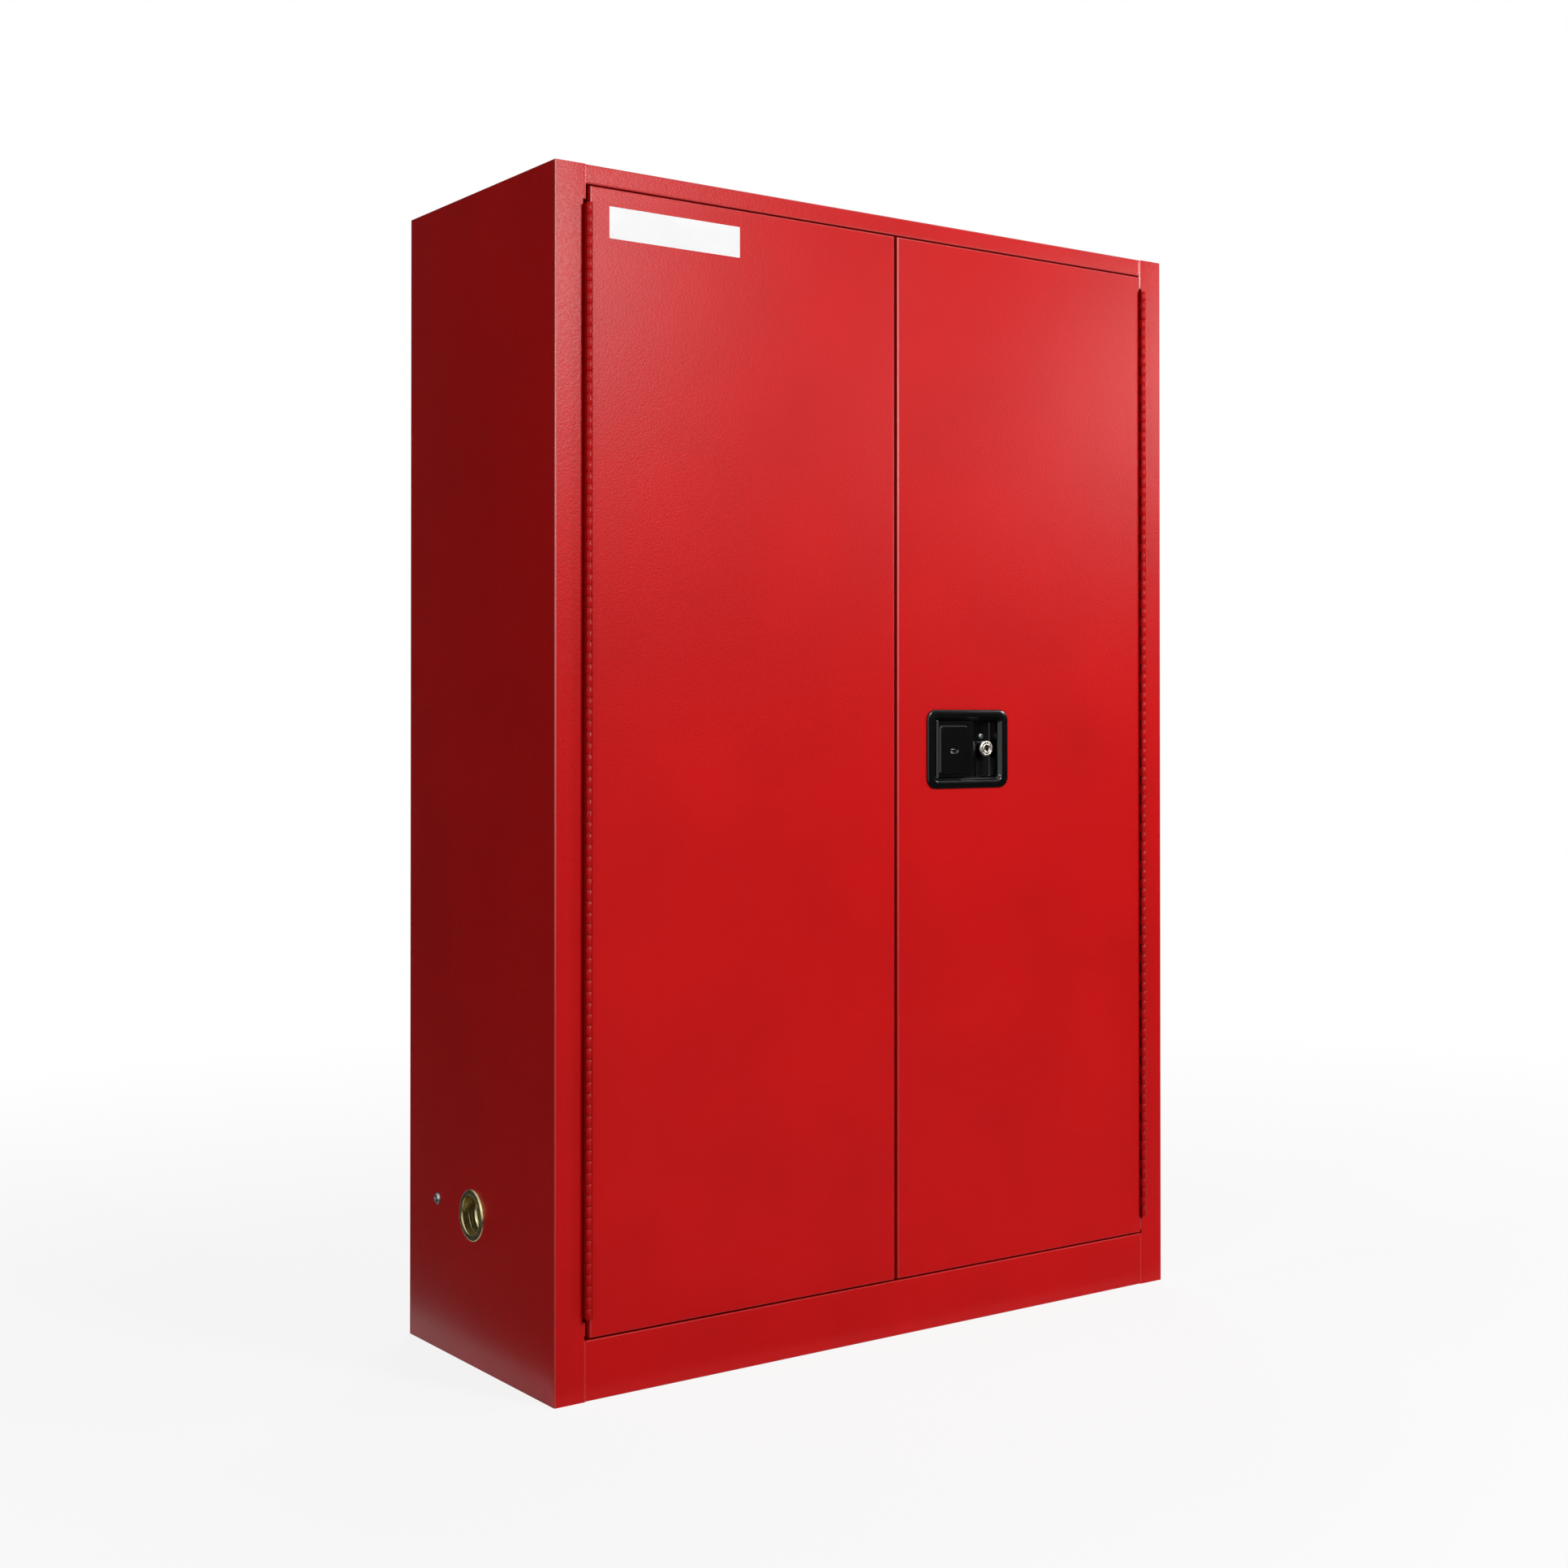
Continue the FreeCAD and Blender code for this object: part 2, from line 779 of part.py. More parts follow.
def levelling_foot(x, y):
    """A hexagonal foot on a stud."""
    pad = hexagon(x, y, foot_lift, foot_pad_width, vec(0, 0, foot_pad_thickness))
    length = foot_pad_thickness / 2 + foot_stud_length
    stud = rod(x, y, foot_lift + foot_pad_thickness / 2, foot_stud_diameter / 2, length, vec(0, 0, 1))
    return fuse([pad, stud])


def door_skin(x0, x1):
    """An outer door pan with rounded edges, open at the back."""
    outer = box(x0, x1, door_face, door_back, door_bottom, door_top)
    rim = [e for e in outer.Edges if abs(e.CenterOfMass.y - door_face) < 0.1]
    outer = outer.makeFillet(bend, rim)
    inner = box(
        x0 + sheet, x1 - sheet, door_face + sheet, door_back + sheet,
        door_bottom + sheet, door_top - sheet,
    )
    rim = [e for e in inner.Edges if abs(e.CenterOfMass.y - door_face - sheet) < 0.1]
    return cut(outer, [inner.makeFillet(bend - sheet, rim)])


def door_liner(x0, x1):
    """The inner skin of a door: a shallow pan whose flanges sit inside the outer pan."""
    outer = box(
        x0 + sheet, x1 - sheet, door_back - door_flange, door_back,
        door_bottom + sheet, door_top - sheet,
    )
    inner = box(
        x0 + 2 * sheet, x1 - 2 * sheet, door_back - door_flange - sheet, door_back - sheet,
        door_bottom + 2 * sheet, door_top - 2 * sheet,
    )
    return cut(outer, [inner])


def hinge_notch_in_door():
    """Removes the rounded edge of the left door behind the barrel."""
    return box(
        -door_half - sheet, -door_half + door_notch_width,
        door_face - sheet, door_face + door_notch_depth,
        barrel_bottom - door_notch_margin, barrel_top + door_notch_margin,
    )


def left_door_skin():
    skin = cut(door_skin(-door_half, left_door_edge), [hinge_notch_in_door()])
    slot = bolt_opening(left_door_edge - 2 * sheet, left_door_edge + sheet)
    return cut(skin, [slot])


def bolt_opening(x0, x1):
    gap = rod_bore_clearance
    return box(
        x0, x1, yoke_front - gap, yoke_front + bolt_thickness + gap,
        bolt_z - bolt_height / 2 - gap, bolt_z + bolt_height / 2 + gap,
    )


def centre_keeper():
    """A plate behind the flange in the left door's edge, slotted for the centre bolt."""
    x1 = left_door_edge - 2 * sheet
    y1 = door_back - 2 * sheet
    plate = box(
        x1 - 2 * sheet, x1, y1 - keeper_plate_width, y1,
        bolt_z - keeper_plate_height / 2, bolt_z + keeper_plate_height / 2,
    )
    return cut(plate, [bolt_opening(x1 - 4 * sheet, x1 + sheet)])


def left_door_liner():
    liner = door_liner(-door_half, left_door_edge)
    return cut(liner, [bolt_opening(left_door_edge - 3 * sheet, left_door_edge)])


def right_door_skin():
    skin = door_skin(right_door_edge, door_half)
    clear = 2 * (dish_wall + skin_cut_clearance)
    window = rounded_plate(
        latch_x, latch_z, dish_width + clear, dish_height + clear, dish_radius + clear / 2,
        door_face - sheet, door_face + 3 * sheet,
    )
    bore = rod_diameter / 2 + rod_bore_clearance
    top = rod(latch_x + crank_x(), rod_y, door_top - 3 * sheet, bore, 6 * sheet, vec(0, 0, 1))
    bottom = rod(latch_x - crank_x(), rod_y, door_bottom - 3 * sheet, bore, 6 * sheet, vec(0, 0, 1))
    slot = bolt_opening(right_door_edge - sheet, right_door_edge + 2 * sheet)
    return cut(skin, [mirrored(hinge_notch_in_door()), window, top, bottom, slot])


def right_door_liner():
    liner = door_liner(right_door_edge, door_half)
    access = rounded_plate(
        latch_x, latch_z, access_width, access_height, dish_radius,
        door_back - 3 * sheet, door_back + sheet,
    )
    bore = rod_diameter / 2 + rod_bore_clearance
    top = rod(latch_x + crank_x(), rod_y, door_top - 3 * sheet, bore, 6 * sheet, vec(0, 0, 1))
    bottom = rod(latch_x - crank_x(), rod_y, door_bottom - 3 * sheet, bore, 6 * sheet, vec(0, 0, 1))
    slot = bolt_opening(right_door_edge - sheet, right_door_edge + 3 * sheet)
    return cut(liner, [access, top, bottom, slot])


def latch_cover():
    """A plate over the mechanism on the inner face of the right door."""
    plate = rounded_plate(
        latch_x, latch_z, access_width + 2 * cover_margin, access_height + 2 * cover_margin,
        dish_radius, door_back, door_back + cover_thickness,
    )
    return plate


def knuckle_spans():
    """The height ranges of the knuckles, an odd number, so that the frame has both ends."""
    count = int((barrel_top - barrel_bottom) / knuckle_length)
    if count % 2 == 0:
        count += 1
    step = (barrel_top - barrel_bottom) / count
    spans = []
    for i in range(count):
        z0 = barrel_bottom + step * i
        spans.append((z0, z0 + step - knuckle_clearance))
    return spans


def hinge_leaf(side, spans):
    """A leaf of the left hinge; side -1 is the frame leaf and 1 the door leaf."""
    tangent = side * (barrel_radius - leaf_thickness)
    x0, x1 = sorted((-hinge_x + tangent, -hinge_x + side * barrel_radius))
    strip = box(
        x0, x1, hinge_y + barrel_radius + leaf_clearance, hinge_y + leaf_reach,
        barrel_bottom, barrel_top,
    )
    parts = [strip]
    for z0, z1 in spans:
        length = z1 - z0
        parts.append(regular_prism(barrel_sides, barrel_radius, -hinge_x, hinge_y, z0, length))
        parts.append(box(x0, x1, hinge_y, hinge_y + barrel_radius + 2 * leaf_clearance, z0, z1))
    bore = regular_prism(
        bore_sides, hinge_pin_diameter / 2 + pin_clearance, -hinge_x, hinge_y,
        barrel_bottom - 1, barrel_top - barrel_bottom + 2,
    )
    return cut(fuse(parts), [bore])


def hinge_pin():
    length = barrel_top - barrel_bottom - knuckle_clearance
    return rod(-hinge_x, hinge_y, barrel_bottom, hinge_pin_diameter / 2, length, vec(0, 0, 1))


def latch_dish():
    """The moulded dish: a rounded rim, sloped shoulders and a deep tub with a slotted floor."""
    rim = rounded_plate(latch_x, latch_z, bezel_width, bezel_height, bezel_radius, dish_face, door_face)
    outer_edges = []
    for edge in rim.Edges:
        if edge.BoundBox.YMax < dish_face + 0.1:
            outer_edges.append(edge)
    rim = rim.makeChamfer(bezel_edge, outer_edges)
    tub = rounded_plate(
        latch_x, latch_z, dish_width + 2 * dish_wall, dish_height + 2 * dish_wall,
        dish_radius + dish_wall, door_face - sheet, dish_rear,
    )
    cavity = rounded_plate(latch_x, latch_z, dish_width, dish_height, dish_radius, dish_face - 1, dish_floor)
    mouth = rounded_rectangle(latch_x, latch_z, mouth_width, mouth_height, mouth_radius, dish_face)
    throat = rounded_rectangle(
        latch_x, latch_z, dish_width, dish_height, dish_radius, dish_face + dish_shoulder,
    )
    slope = Part.makeLoft([mouth, throat], True, True)
    tail_slot = box(
        paddle_pivot_x - tail_thickness, paddle_pivot_x + tail_slot_width,
        dish_floor - 1, dish_rear + 1,
        bolt_z - tail_height / 2 - 1, bolt_z + tail_height / 2 + 1,
    )
    shaft = rod(latch_x, dish_rear - 1, latch_z, shaft_diameter / 2, rotor_back - dish_rear + 2, vec(0, 1, 0))
    boss = rod(latch_x, dish_rear - 1, latch_z, shaft_diameter, rotor_gap + 1 - layer_gap, vec(0, 1, 0))
    dish = fuse([rim, tub])
    dish = cut(dish, [cavity, slope, tail_slot])
    pin_hole = rod(
        paddle_pivot_x, pivot_y, latch_z - dish_height, paddle_pin_diameter / 2 + pin_clearance,
        2 * dish_height, vec(0, 0, 1),
    )
    lock_hole = rod(
        lock_x, dish_floor - 1, latch_z,
        lock_body_diameter / 2 + pin_clearance, 2 * dish_wall + 2, vec(0, 1, 0),
    )
    screw_hole = rod(
        lock_x, dish_floor - 1, latch_z + dish_screw_offset,
        dish_screw_diameter / 2 + pin_clearance, 2 * dish_wall + 2, vec(0, 1, 0),
    )
    return fuse([cut(dish, [pin_hole, lock_hole, screw_hole]), boss, shaft])


def paddle():
    """A hollow handle rolled round its pivot, with a raised field, a curled lip and a tail."""
    z0 = latch_z - paddle_height / 2
    z1 = latch_z + paddle_height / 2
    nose = rod(paddle_pivot_x, pivot_y, z0, paddle_nose_radius, paddle_height, vec(0, 0, 1))
    path = [
        (paddle_pivot_x, paddle_face),
        (paddle_corner_x, paddle_face),
        (paddle_lip_x, paddle_face + paddle_lip_back),
    ]
    shell = plan_sheet(path, z0, z1, paddle_bend, paddle_wall)
    field = rounded_plate(
        paddle_field_x, latch_z - paddle_field_drop,
        paddle_field_width, paddle_field_height, paddle_field_radius,
        paddle_face - paddle_field_rise, paddle_face + paddle_wall / 2,
    )
    rim = [e for e in field.Edges if e.BoundBox.YMax < paddle_face - paddle_field_rise / 2]
    field = field.makeChamfer(paddle_field_rise * 0.8, rim)
    web_back = pivot_y + paddle_nose_radius - paddle_web
    web_points = (
        (paddle_pivot_x, paddle_face),
        (paddle_corner_x - paddle_bend / 2, paddle_face),
        (paddle_corner_x, paddle_face + paddle_wall),
        (paddle_lip_x - 2 * paddle_wall, paddle_face + paddle_lip_back - paddle_wall),
        (paddle_corner_x - paddle_wall, paddle_face + paddle_lip_back),
        (paddle_pivot_x, web_back),
    )
    webs = []
    for z in (z0, z1 - paddle_web):
        webs.append(prism([(x, y, z) for x, y in web_points], vec(0, 0, paddle_web)))
    tail = box(
        paddle_pivot_x - tail_thickness / 2, paddle_pivot_x + tail_thickness / 2,
        pivot_y, rotor_back - layer_gap,
        bolt_z - tail_height / 2, bolt_z + tail_height / 2,
    )
    body = fuse([nose, shell, field, tail] + webs)
    radius = paddle_pin_diameter / 2 + pin_clearance
    bore = rod(paddle_pivot_x, pivot_y, z0 - 1, radius, paddle_height + 2, vec(0, 0, 1))
    return cut(body, [bore])


def paddle_pin():
    reach = dish_height / 2 + 2 * dish_wall
    return rod(paddle_pivot_x, pivot_y, latch_z - reach, paddle_pin_diameter / 2, 2 * reach, vec(0, 0, 1))


def crank_x():
    """The sideways place of the rod pins when the rotor is turned to either end."""
    return rod_crank * (1 + math.cos(math.radians(rotor_rest_angle))) / 2


def crank_points():
    """The centres of the three crank pins at rest: top rod, bottom rod and centre bolt."""
    a = math.radians(rotor_rest_angle)
    top = (latch_x + rod_crank * math.cos(a), latch_z + rod_crank * math.sin(a))
    bottom = (latch_x - rod_crank * math.cos(a), latch_z - rod_crank * math.sin(a))
    bolt = (latch_x - bolt_crank * math.sin(a), latch_z + bolt_crank * math.cos(a))
    return top, bottom, bolt


def rotor():
    """A three-armed crank on the dish's shaft that works both rods and the centre bolt."""
    axis = vec(0, 1, 0)
    parts = [rod(latch_x, rotor_front, latch_z, rotor_hub_diameter / 2, rotor_thickness, axis)]
    for x, z in crank_points():
        length = math.hypot(x - latch_x, z - latch_z)
        arm = box(0, length, rotor_front, rotor_back, -rotor_arm_width / 2, rotor_arm_width / 2)
        turn = -math.degrees(math.atan2(z - latch_z, x - latch_x))
        arm.rotate(vec(0, 0, 0), axis, turn)
        arm.translate(vec(latch_x, 0, latch_z))
        parts.append(arm)
        parts.append(rod(x, rotor_front, z, rotor_arm_width / 2, rotor_thickness, axis))
        length = rotor_thickness + crank_pin_length - 1
        parts.append(rod(x, rotor_front + 1, z, crank_pin_diameter / 2, length, axis))
    radius = shaft_diameter / 2 + pin_clearance
    bore = rod(latch_x, rotor_front - 1, latch_z, radius, rotor_thickness + 2, axis)
    return cut(fuse(parts), [bore])


def yoke(x, z, sideways):
    """A slotted plate in which a crank pin slides across the direction of the bolt."""
    travel = rod_crank * (1 - math.cos(math.radians(rotor_rest_angle)))
    radius = crank_pin_diameter / 2 + slot_clearance
    long_half = radius + travel
    half_x = long_half if sideways else radius
    half_z = radius if sideways else long_half
    plate = box(
        x - half_x - yoke_end, x + half_x + yoke_end, yoke_front, yoke_front + yoke_thickness,
        z - half_z - yoke_end, z + half_z + yoke_end,
    )
    slot = box(
        x - half_x, x + half_x, yoke_front - 1, yoke_front + yoke_thickness + 1,
        z - half_z, z + half_z,
    )
    return plate, slot


def lock_rod(x, z, end, direction):
    """A round rod from a crank pin's yoke to just short of its keeper."""
    plate, slot = yoke(x, z, True)
    start = z + direction * (crank_pin_diameter / 2 + slot_clearance + yoke_end / 2)
    bar = rod(x, rod_y, start, rod_diameter / 2, abs(end - start), vec(0, 0, direction))
    tip = [e for e in bar.Edges if abs(e.CenterOfMass.z - end) < 0.1]
    bar = bar.makeChamfer(rod_tip_edge, tip)
    return cut(fuse([plate, bar]), [slot])


def top_rod():
    z = crank_points()[0][1]
    return lock_rod(latch_x + crank_x(), z, opening_top - tip_clearance, 1)


def bottom_rod():
    z = crank_points()[1][1]
    return lock_rod(latch_x - crank_x(), z, base_height + tip_clearance, -1)


def centre_bolt():
    """A flat bolt to the left door, with a lug that the paddle's tail pushes."""
    x = crank_points()[2][0]
    plate, slot = yoke(x, bolt_z - bolt_rise, False)
    tip = right_door_edge - bolt_tip_reach
    bar_end = x - crank_pin_diameter / 2 - slot_clearance - yoke_end / 2
    bar = box(
        tip, bar_end, yoke_front, yoke_front + bolt_thickness,
        bolt_z - bolt_height / 2, bolt_z + bolt_height / 2,
    )
    lug_x = paddle_pivot_x + tail_thickness / 2 + lug_gap
    lug = box(
        lug_x, lug_x + lug_thickness, dish_rear + layer_gap, yoke_front + bolt_thickness / 2,
        bolt_z - bolt_height / 2, bolt_z + bolt_height / 2,
    )
    return cut(fuse([plate, bar, lug]), [slot])


def lock_housing():
    """The lock's barrel on the dish floor, with its body through the floor."""
    axis = vec(0, 1, 0)
    barrel = rod(lock_x, lock_face, latch_z, lock_barrel_diameter / 2, dish_floor - lock_face, axis)
    rim = [e for e in barrel.Edges if abs(e.CenterOfMass.y - lock_face) < 0.1]
    barrel = barrel.makeChamfer(lock_edge, rim)
    body = rod(lock_x, dish_floor - 1, latch_z, lock_body_diameter / 2, lock_end - dish_floor + 1, axis)
    bore = rod(lock_x, lock_face - 1, latch_z, lock_plug_diameter / 2 + plug_clearance, 2 * lock_length, axis)
    return cut(fuse([barrel, body]), [bore])


def lock_plug():
    """The plug with its keyway, and the cam on its end behind the housing."""
    axis = vec(0, 1, 0)
    start = lock_face - 0.4
    cam_front = lock_end + layer_gap
    plug = rod(lock_x, start, latch_z, lock_plug_diameter / 2, cam_front + cam_thickness - start, axis)
    keyway = box(
        lock_x - keyway_width / 2, lock_x + keyway_width / 2, start - 1, start + keyway_depth,
        latch_z - keyway_height / 2, latch_z + keyway_height / 2,
    )
    cam = box(
        lock_x - cam_width / 2, lock_x + cam_width / 2, cam_front, cam_front + cam_thickness,
        latch_z - cam_length, latch_z,
    )
    return cut(fuse([plug, cam]), [keyway])


def lock_nut():
    nut = hexagon(lock_x, dish_rear, latch_z, lock_nut_size, vec(0, lock_nut_thickness, 0))
    bore = rod(lock_x, dish_rear - 1, latch_z, lock_body_diameter / 2, lock_nut_thickness + 2, vec(0, 1, 0))
    return cut(nut, [bore])


def dish_screw():
    """The pan head screw above the lock that clamps the dish to its bracket."""
    z = latch_z + dish_screw_offset
    y0 = dish_floor - dish_screw_head_height
    head = rod(lock_x, y0, z, dish_screw_head / 2, dish_screw_head_height, vec(0, 1, 0))
    shank = rod(lock_x, dish_floor - 1, z, dish_screw_diameter / 2, dish_wall + 5, vec(0, 1, 0))
    return fuse([head, shank])


def build():
    spans = knuckle_spans()
    frame_leaf = hinge_leaf(-1, spans[0::2])
    door_leaf = hinge_leaf(1, spans[1::2])
    pieces = {
        "left_side_panel": left_side_panel(),
        "right_side_panel": right_side_panel(),
        "back_panel": back_panel(),
        "top_panel": top_panel(),
        "top_door_stop": top_door_stop(),
        "base_rail": base_rail(),
        "bottom_panel": bottom_panel(),
        "inner_liner": inner_liner(),
        "inner_ceiling": inner_ceiling(),
        "sump_tray": sump_tray(),
        "left_jamb": jamb(),
        "right_jamb": mirrored(jamb()),
        "left_front_standard": standard(standard_front),
        "left_back_standard": standard(standard_back),
        "right_front_standard": mirrored(standard(standard_front)),
        "right_back_standard": mirrored(standard(standard_back)),
        "left_vent_fitting": vent_fitting(vent_height),
        "right_vent_fitting": mirrored(vent_fitting(right_vent_height)),
        "left_vent_ring": vent_ring(vent_height),
        "right_vent_ring": mirrored(vent_ring(right_vent_height)),
        "left_flame_screen": flame_screen(vent_height),
        "right_flame_screen": mirrored(flame_screen(right_vent_height)),
        "earthing_screw": earthing_screw(),
        "earthing_nut": earthing_nut(),
        "left_foot_channel": foot_channel(),
        "right_foot_channel": mirrored(foot_channel()),
        "left_hinge_frame_leaf": frame_leaf,
        "right_hinge_frame_leaf": mirrored(frame_leaf),
        "left_hinge_pin": hinge_pin(),
        "right_hinge_pin": mirrored(hinge_pin()),
        "left_hinge_door_leaf": door_leaf,
        "right_hinge_door_leaf": mirrored(door_leaf),
        "left_door_skin": left_door_skin(),
        "left_door_liner": left_door_liner(),
        "centre_keeper": centre_keeper(),
        "right_door_skin": right_door_skin(),
        "right_door_liner": right_door_liner(),
        "latch_cover": latch_cover(),
        "latch_dish": latch_dish(),
        "paddle_pin": paddle_pin(),
        "paddle": paddle(),
        "rotor": rotor(),
        "top_rod": top_rod(),
        "bottom_rod": bottom_rod(),
        "centre_bolt": centre_bolt(),
        "lock_housing": lock_housing(),
        "lock_nut": lock_nut(),
        "lock_plug": lock_plug(),
        "dish_screw": dish_screw(),
    }
    for name, slot in zip(("lower", "upper"), shelf_slots):
        rail = shelf_rail(slot)
        pieces["left_" + name + "_rail"] = rail
        pieces["right_" + name + "_rail"] = mirrored(rail)
        pieces[name + "_shelf"] = shelf(slot)
    names = ("left_front", "left_back", "right_front", "right_back")
    for name, place in zip(names, foot_places()):
        pieces[name + "_foot"] = levelling_foot(*place)
    return pieces


os.makedirs("parts", exist_ok=True)
for name, shape in build().items():
    if shape.ShapeType == "Compound" and len(shape.Solids) == 1:
        shape = shape.Solids[0]
    box_ = shape.BoundBox
    print(
        name, len(shape.Solids), shape.isValid(), round(shape.Volume / 1000, 2),
        "x %.1f..%.1f y %.1f..%.1f z %.1f..%.1f" % (
            box_.XMin, box_.XMax, box_.YMin, box_.YMax, box_.ZMin, box_.ZMax,
        ),
    )
    shape.exportStep("parts/" + name + ".step")
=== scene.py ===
"""Combustible storage cabinet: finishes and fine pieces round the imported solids.

Lengths are in metres, and tables of millimetres are multiplied by MM where they are used.
The frame is that of the solids: X to the right seen from the front, the front at -Y, Z up,
the origin bottom centre.
"""

import json
import math

import bmesh
import bpy
from mathutils import Matrix, Vector


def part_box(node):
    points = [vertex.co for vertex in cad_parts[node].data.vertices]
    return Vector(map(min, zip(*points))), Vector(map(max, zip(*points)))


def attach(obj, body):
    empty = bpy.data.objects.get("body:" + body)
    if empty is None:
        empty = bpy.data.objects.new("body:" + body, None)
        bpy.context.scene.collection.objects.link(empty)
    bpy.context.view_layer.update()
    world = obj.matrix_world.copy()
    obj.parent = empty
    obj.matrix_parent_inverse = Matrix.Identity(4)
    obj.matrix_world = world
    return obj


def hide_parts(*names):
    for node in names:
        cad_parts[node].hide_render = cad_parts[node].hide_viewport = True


bl_info = {
    "name": "Combustible Storage Cabinet",
    "version": (1, 0, 0),
    "blender": (4, 5, 0),
    "location": "3D View > Sidebar > Cabinet",
    "description": "Finishes and fine pieces of a double-wall steel storage cabinet",
    "category": "Object",
}

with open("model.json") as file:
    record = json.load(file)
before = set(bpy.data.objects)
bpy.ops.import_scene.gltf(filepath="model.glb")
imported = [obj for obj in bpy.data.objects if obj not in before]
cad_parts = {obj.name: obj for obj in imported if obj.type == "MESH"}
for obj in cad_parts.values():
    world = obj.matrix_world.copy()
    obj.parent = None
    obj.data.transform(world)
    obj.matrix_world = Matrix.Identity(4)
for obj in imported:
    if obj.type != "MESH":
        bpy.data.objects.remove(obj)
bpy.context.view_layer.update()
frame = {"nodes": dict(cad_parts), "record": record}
nodes = frame["nodes"]

MM = 0.001
SAME = 0.0001 * MM  # two points nearer than this are one point


# Settings


class CabinetColours(bpy.types.PropertyGroup):
    """The colours that a user would change, as sRGB hex."""

    paint: bpy.props.StringProperty(
        name="Paint", description="Powder coat of the body and the doors", default="#C40E10")
    latch: bpy.props.StringProperty(
        name="Latch", description="Coating of the dish and the paddle", default="#060707")
    label: bpy.props.StringProperty(
        name="Label", description="Face of the blank label", default="#EBECEC")


class CabinetSizes(bpy.types.PropertyGroup):
    """The sizes of the fine pieces that a user would change."""

    knuckle: bpy.props.FloatProperty(
        name="Knuckle", description="Length of one hinge knuckle",
        default=0.015, min=0.006, max=0.06, unit="LENGTH", subtype="DISTANCE")
    label_width: bpy.props.FloatProperty(
        name="Label width", description="Width of the blank label",
        default=0.206, min=0.05, max=0.4, unit="LENGTH", subtype="DISTANCE")
    label_height: bpy.props.FloatProperty(
        name="Label height", description="Height of the blank label",
        default=0.043, min=0.02, max=0.2, unit="LENGTH", subtype="DISTANCE")
    grain: bpy.props.FloatProperty(
        name="Paint grain", description="Size of the powder coat's orange peel",
        default=0.0032, min=0.001, max=0.01, unit="LENGTH", subtype="DISTANCE")


# Small helpers for meshes


def linear(hex_colour):
    """An sRGB hex colour as linear red, green, blue and alpha."""
    values = []
    for i in (1, 3, 5):
        c = int(hex_colour[i:i + 2], 16) / 255
        values.append(c / 12.92 if c <= 0.04045 else ((c + 0.055) / 1.055) ** 2.4)
    return (*values, 1.0)


SMOOTH = 35.0  # edges over this many degrees stay sharp


def piece(name, shape, body, material, replaced=(), smooth=SMOOTH):
    """Turn a bmesh into a piece of the object that rides on a body."""
    bmesh.ops.recalc_face_normals(shape, faces=shape.faces)
    mesh = bpy.data.meshes.new(name)
    shape.to_mesh(mesh)
    shape.free()
    mesh.shade_smooth()
    mesh.set_sharp_from_angle(angle=math.radians(smooth))
    made = bpy.data.objects.new(name, mesh)
    bpy.context.scene.collection.objects.link(made)
    made.data.materials.append(bpy.data.materials[material])
    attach(made, body)
    if replaced:
        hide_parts(*replaced)
    return made


def round_off(made, width, segments):
    """Round the edges over 30 degrees of a piece with a bevel modifier."""
    bevel = made.modifiers.new("rounded edges", "BEVEL")
    bevel.width = width
    bevel.segments = segments
    bevel.limit_method = "ANGLE"
    bevel.angle_limit = math.radians(30)
    bevel.use_clamp_overlap = True
    bevel.harden_normals = False


def add_box(shape, x0, x1, y0, y1, z0, z1):
    """Add a box between two corners to a bmesh."""
    corners = [shape.verts.new((x, y, z)) for z in (z0, z1) for y in (y0, y1) for x in (x0, x1)]
    faces = ((0, 2, 3, 1), (4, 5, 7, 6), (0, 1, 5, 4), (2, 6, 7, 3), (0, 4, 6, 2), (1, 3, 7, 5))
    for f in faces:
        shape.faces.new([corners[i] for i in f])


def loft(shape, rings, closed_start=True, closed_end=True):
    """Join rings of equal length into a skin, and close its ends if asked."""
    made = [[shape.verts.new(p) for p in ring] for ring in rings]
    count = len(made[0])
    for a, b in zip(made, made[1:]):
        for i in range(count):
            j = (i + 1) % count
            shape.faces.new((a[i], a[j], b[j], b[i]))
    if closed_start:
        shape.faces.new(made[0])
    if closed_end:
        shape.faces.new(list(reversed(made[-1])))


def upright(shape, points, z0, z1):
    """Raise a plan outline into a closed post."""
    loft(shape, [[Vector((x, y, z)) for x, y in points] for z in (z0, z1)])


def turned(profile, centre, axis, steps):
    """Rings of a turned piece: profile is (along, radius), along the axis X, Y or Z."""
    rings = []
    for along, radius in profile:
        ring = []
        for i in range(steps):
            a = 2 * math.pi * i / steps
            u, v = radius * math.cos(a), radius * math.sin(a)
            offset = {"X": (along, u, v), "Y": (u, along, v), "Z": (u, v, along)}[axis]
            ring.append(Vector(centre) + Vector(offset))
        rings.append(ring)
    return rings


def close_round(shape, rings):
    """Join rings into a skin that closes on itself, for a piece with a bore."""
    loft(shape, rings + [rings[0]], False, False)
    bmesh.ops.remove_doubles(shape, verts=shape.verts[-len(rings[0]) * (len(rings) + 1):], dist=SAME)


def rounded_ring(cx, cz, w, h, radius, y, radius_z=None):
    """A rounded rectangle in the plane of the doors, or an oval with a second radius."""
    points, steps = [], 8
    radius_z = radius if radius_z is None else radius_z
    for sx, sz, start in ((1, 1, 0), (-1, 1, 90), (-1, -1, 180), (1, -1, 270)):
        for i in range(steps + 1):
            a = math.radians(start + 90 * i / steps)
            points.append(Vector((
                cx + sx * (w / 2 - radius) + radius * math.cos(a), y,
                cz + sz * (h / 2 - radius_z) + radius_z * math.sin(a))))
    return points


def arc_points(cx, cy, radius, start, end, steps):
    """Points of an arc in a plane, from one angle to another, in degrees."""
    return [
        (cx + radius * math.cos(math.radians(start + (end - start) * i / steps)),
         cy + radius * math.sin(math.radians(start + (end - start) * i / steps)))
        for i in range(steps + 1)]


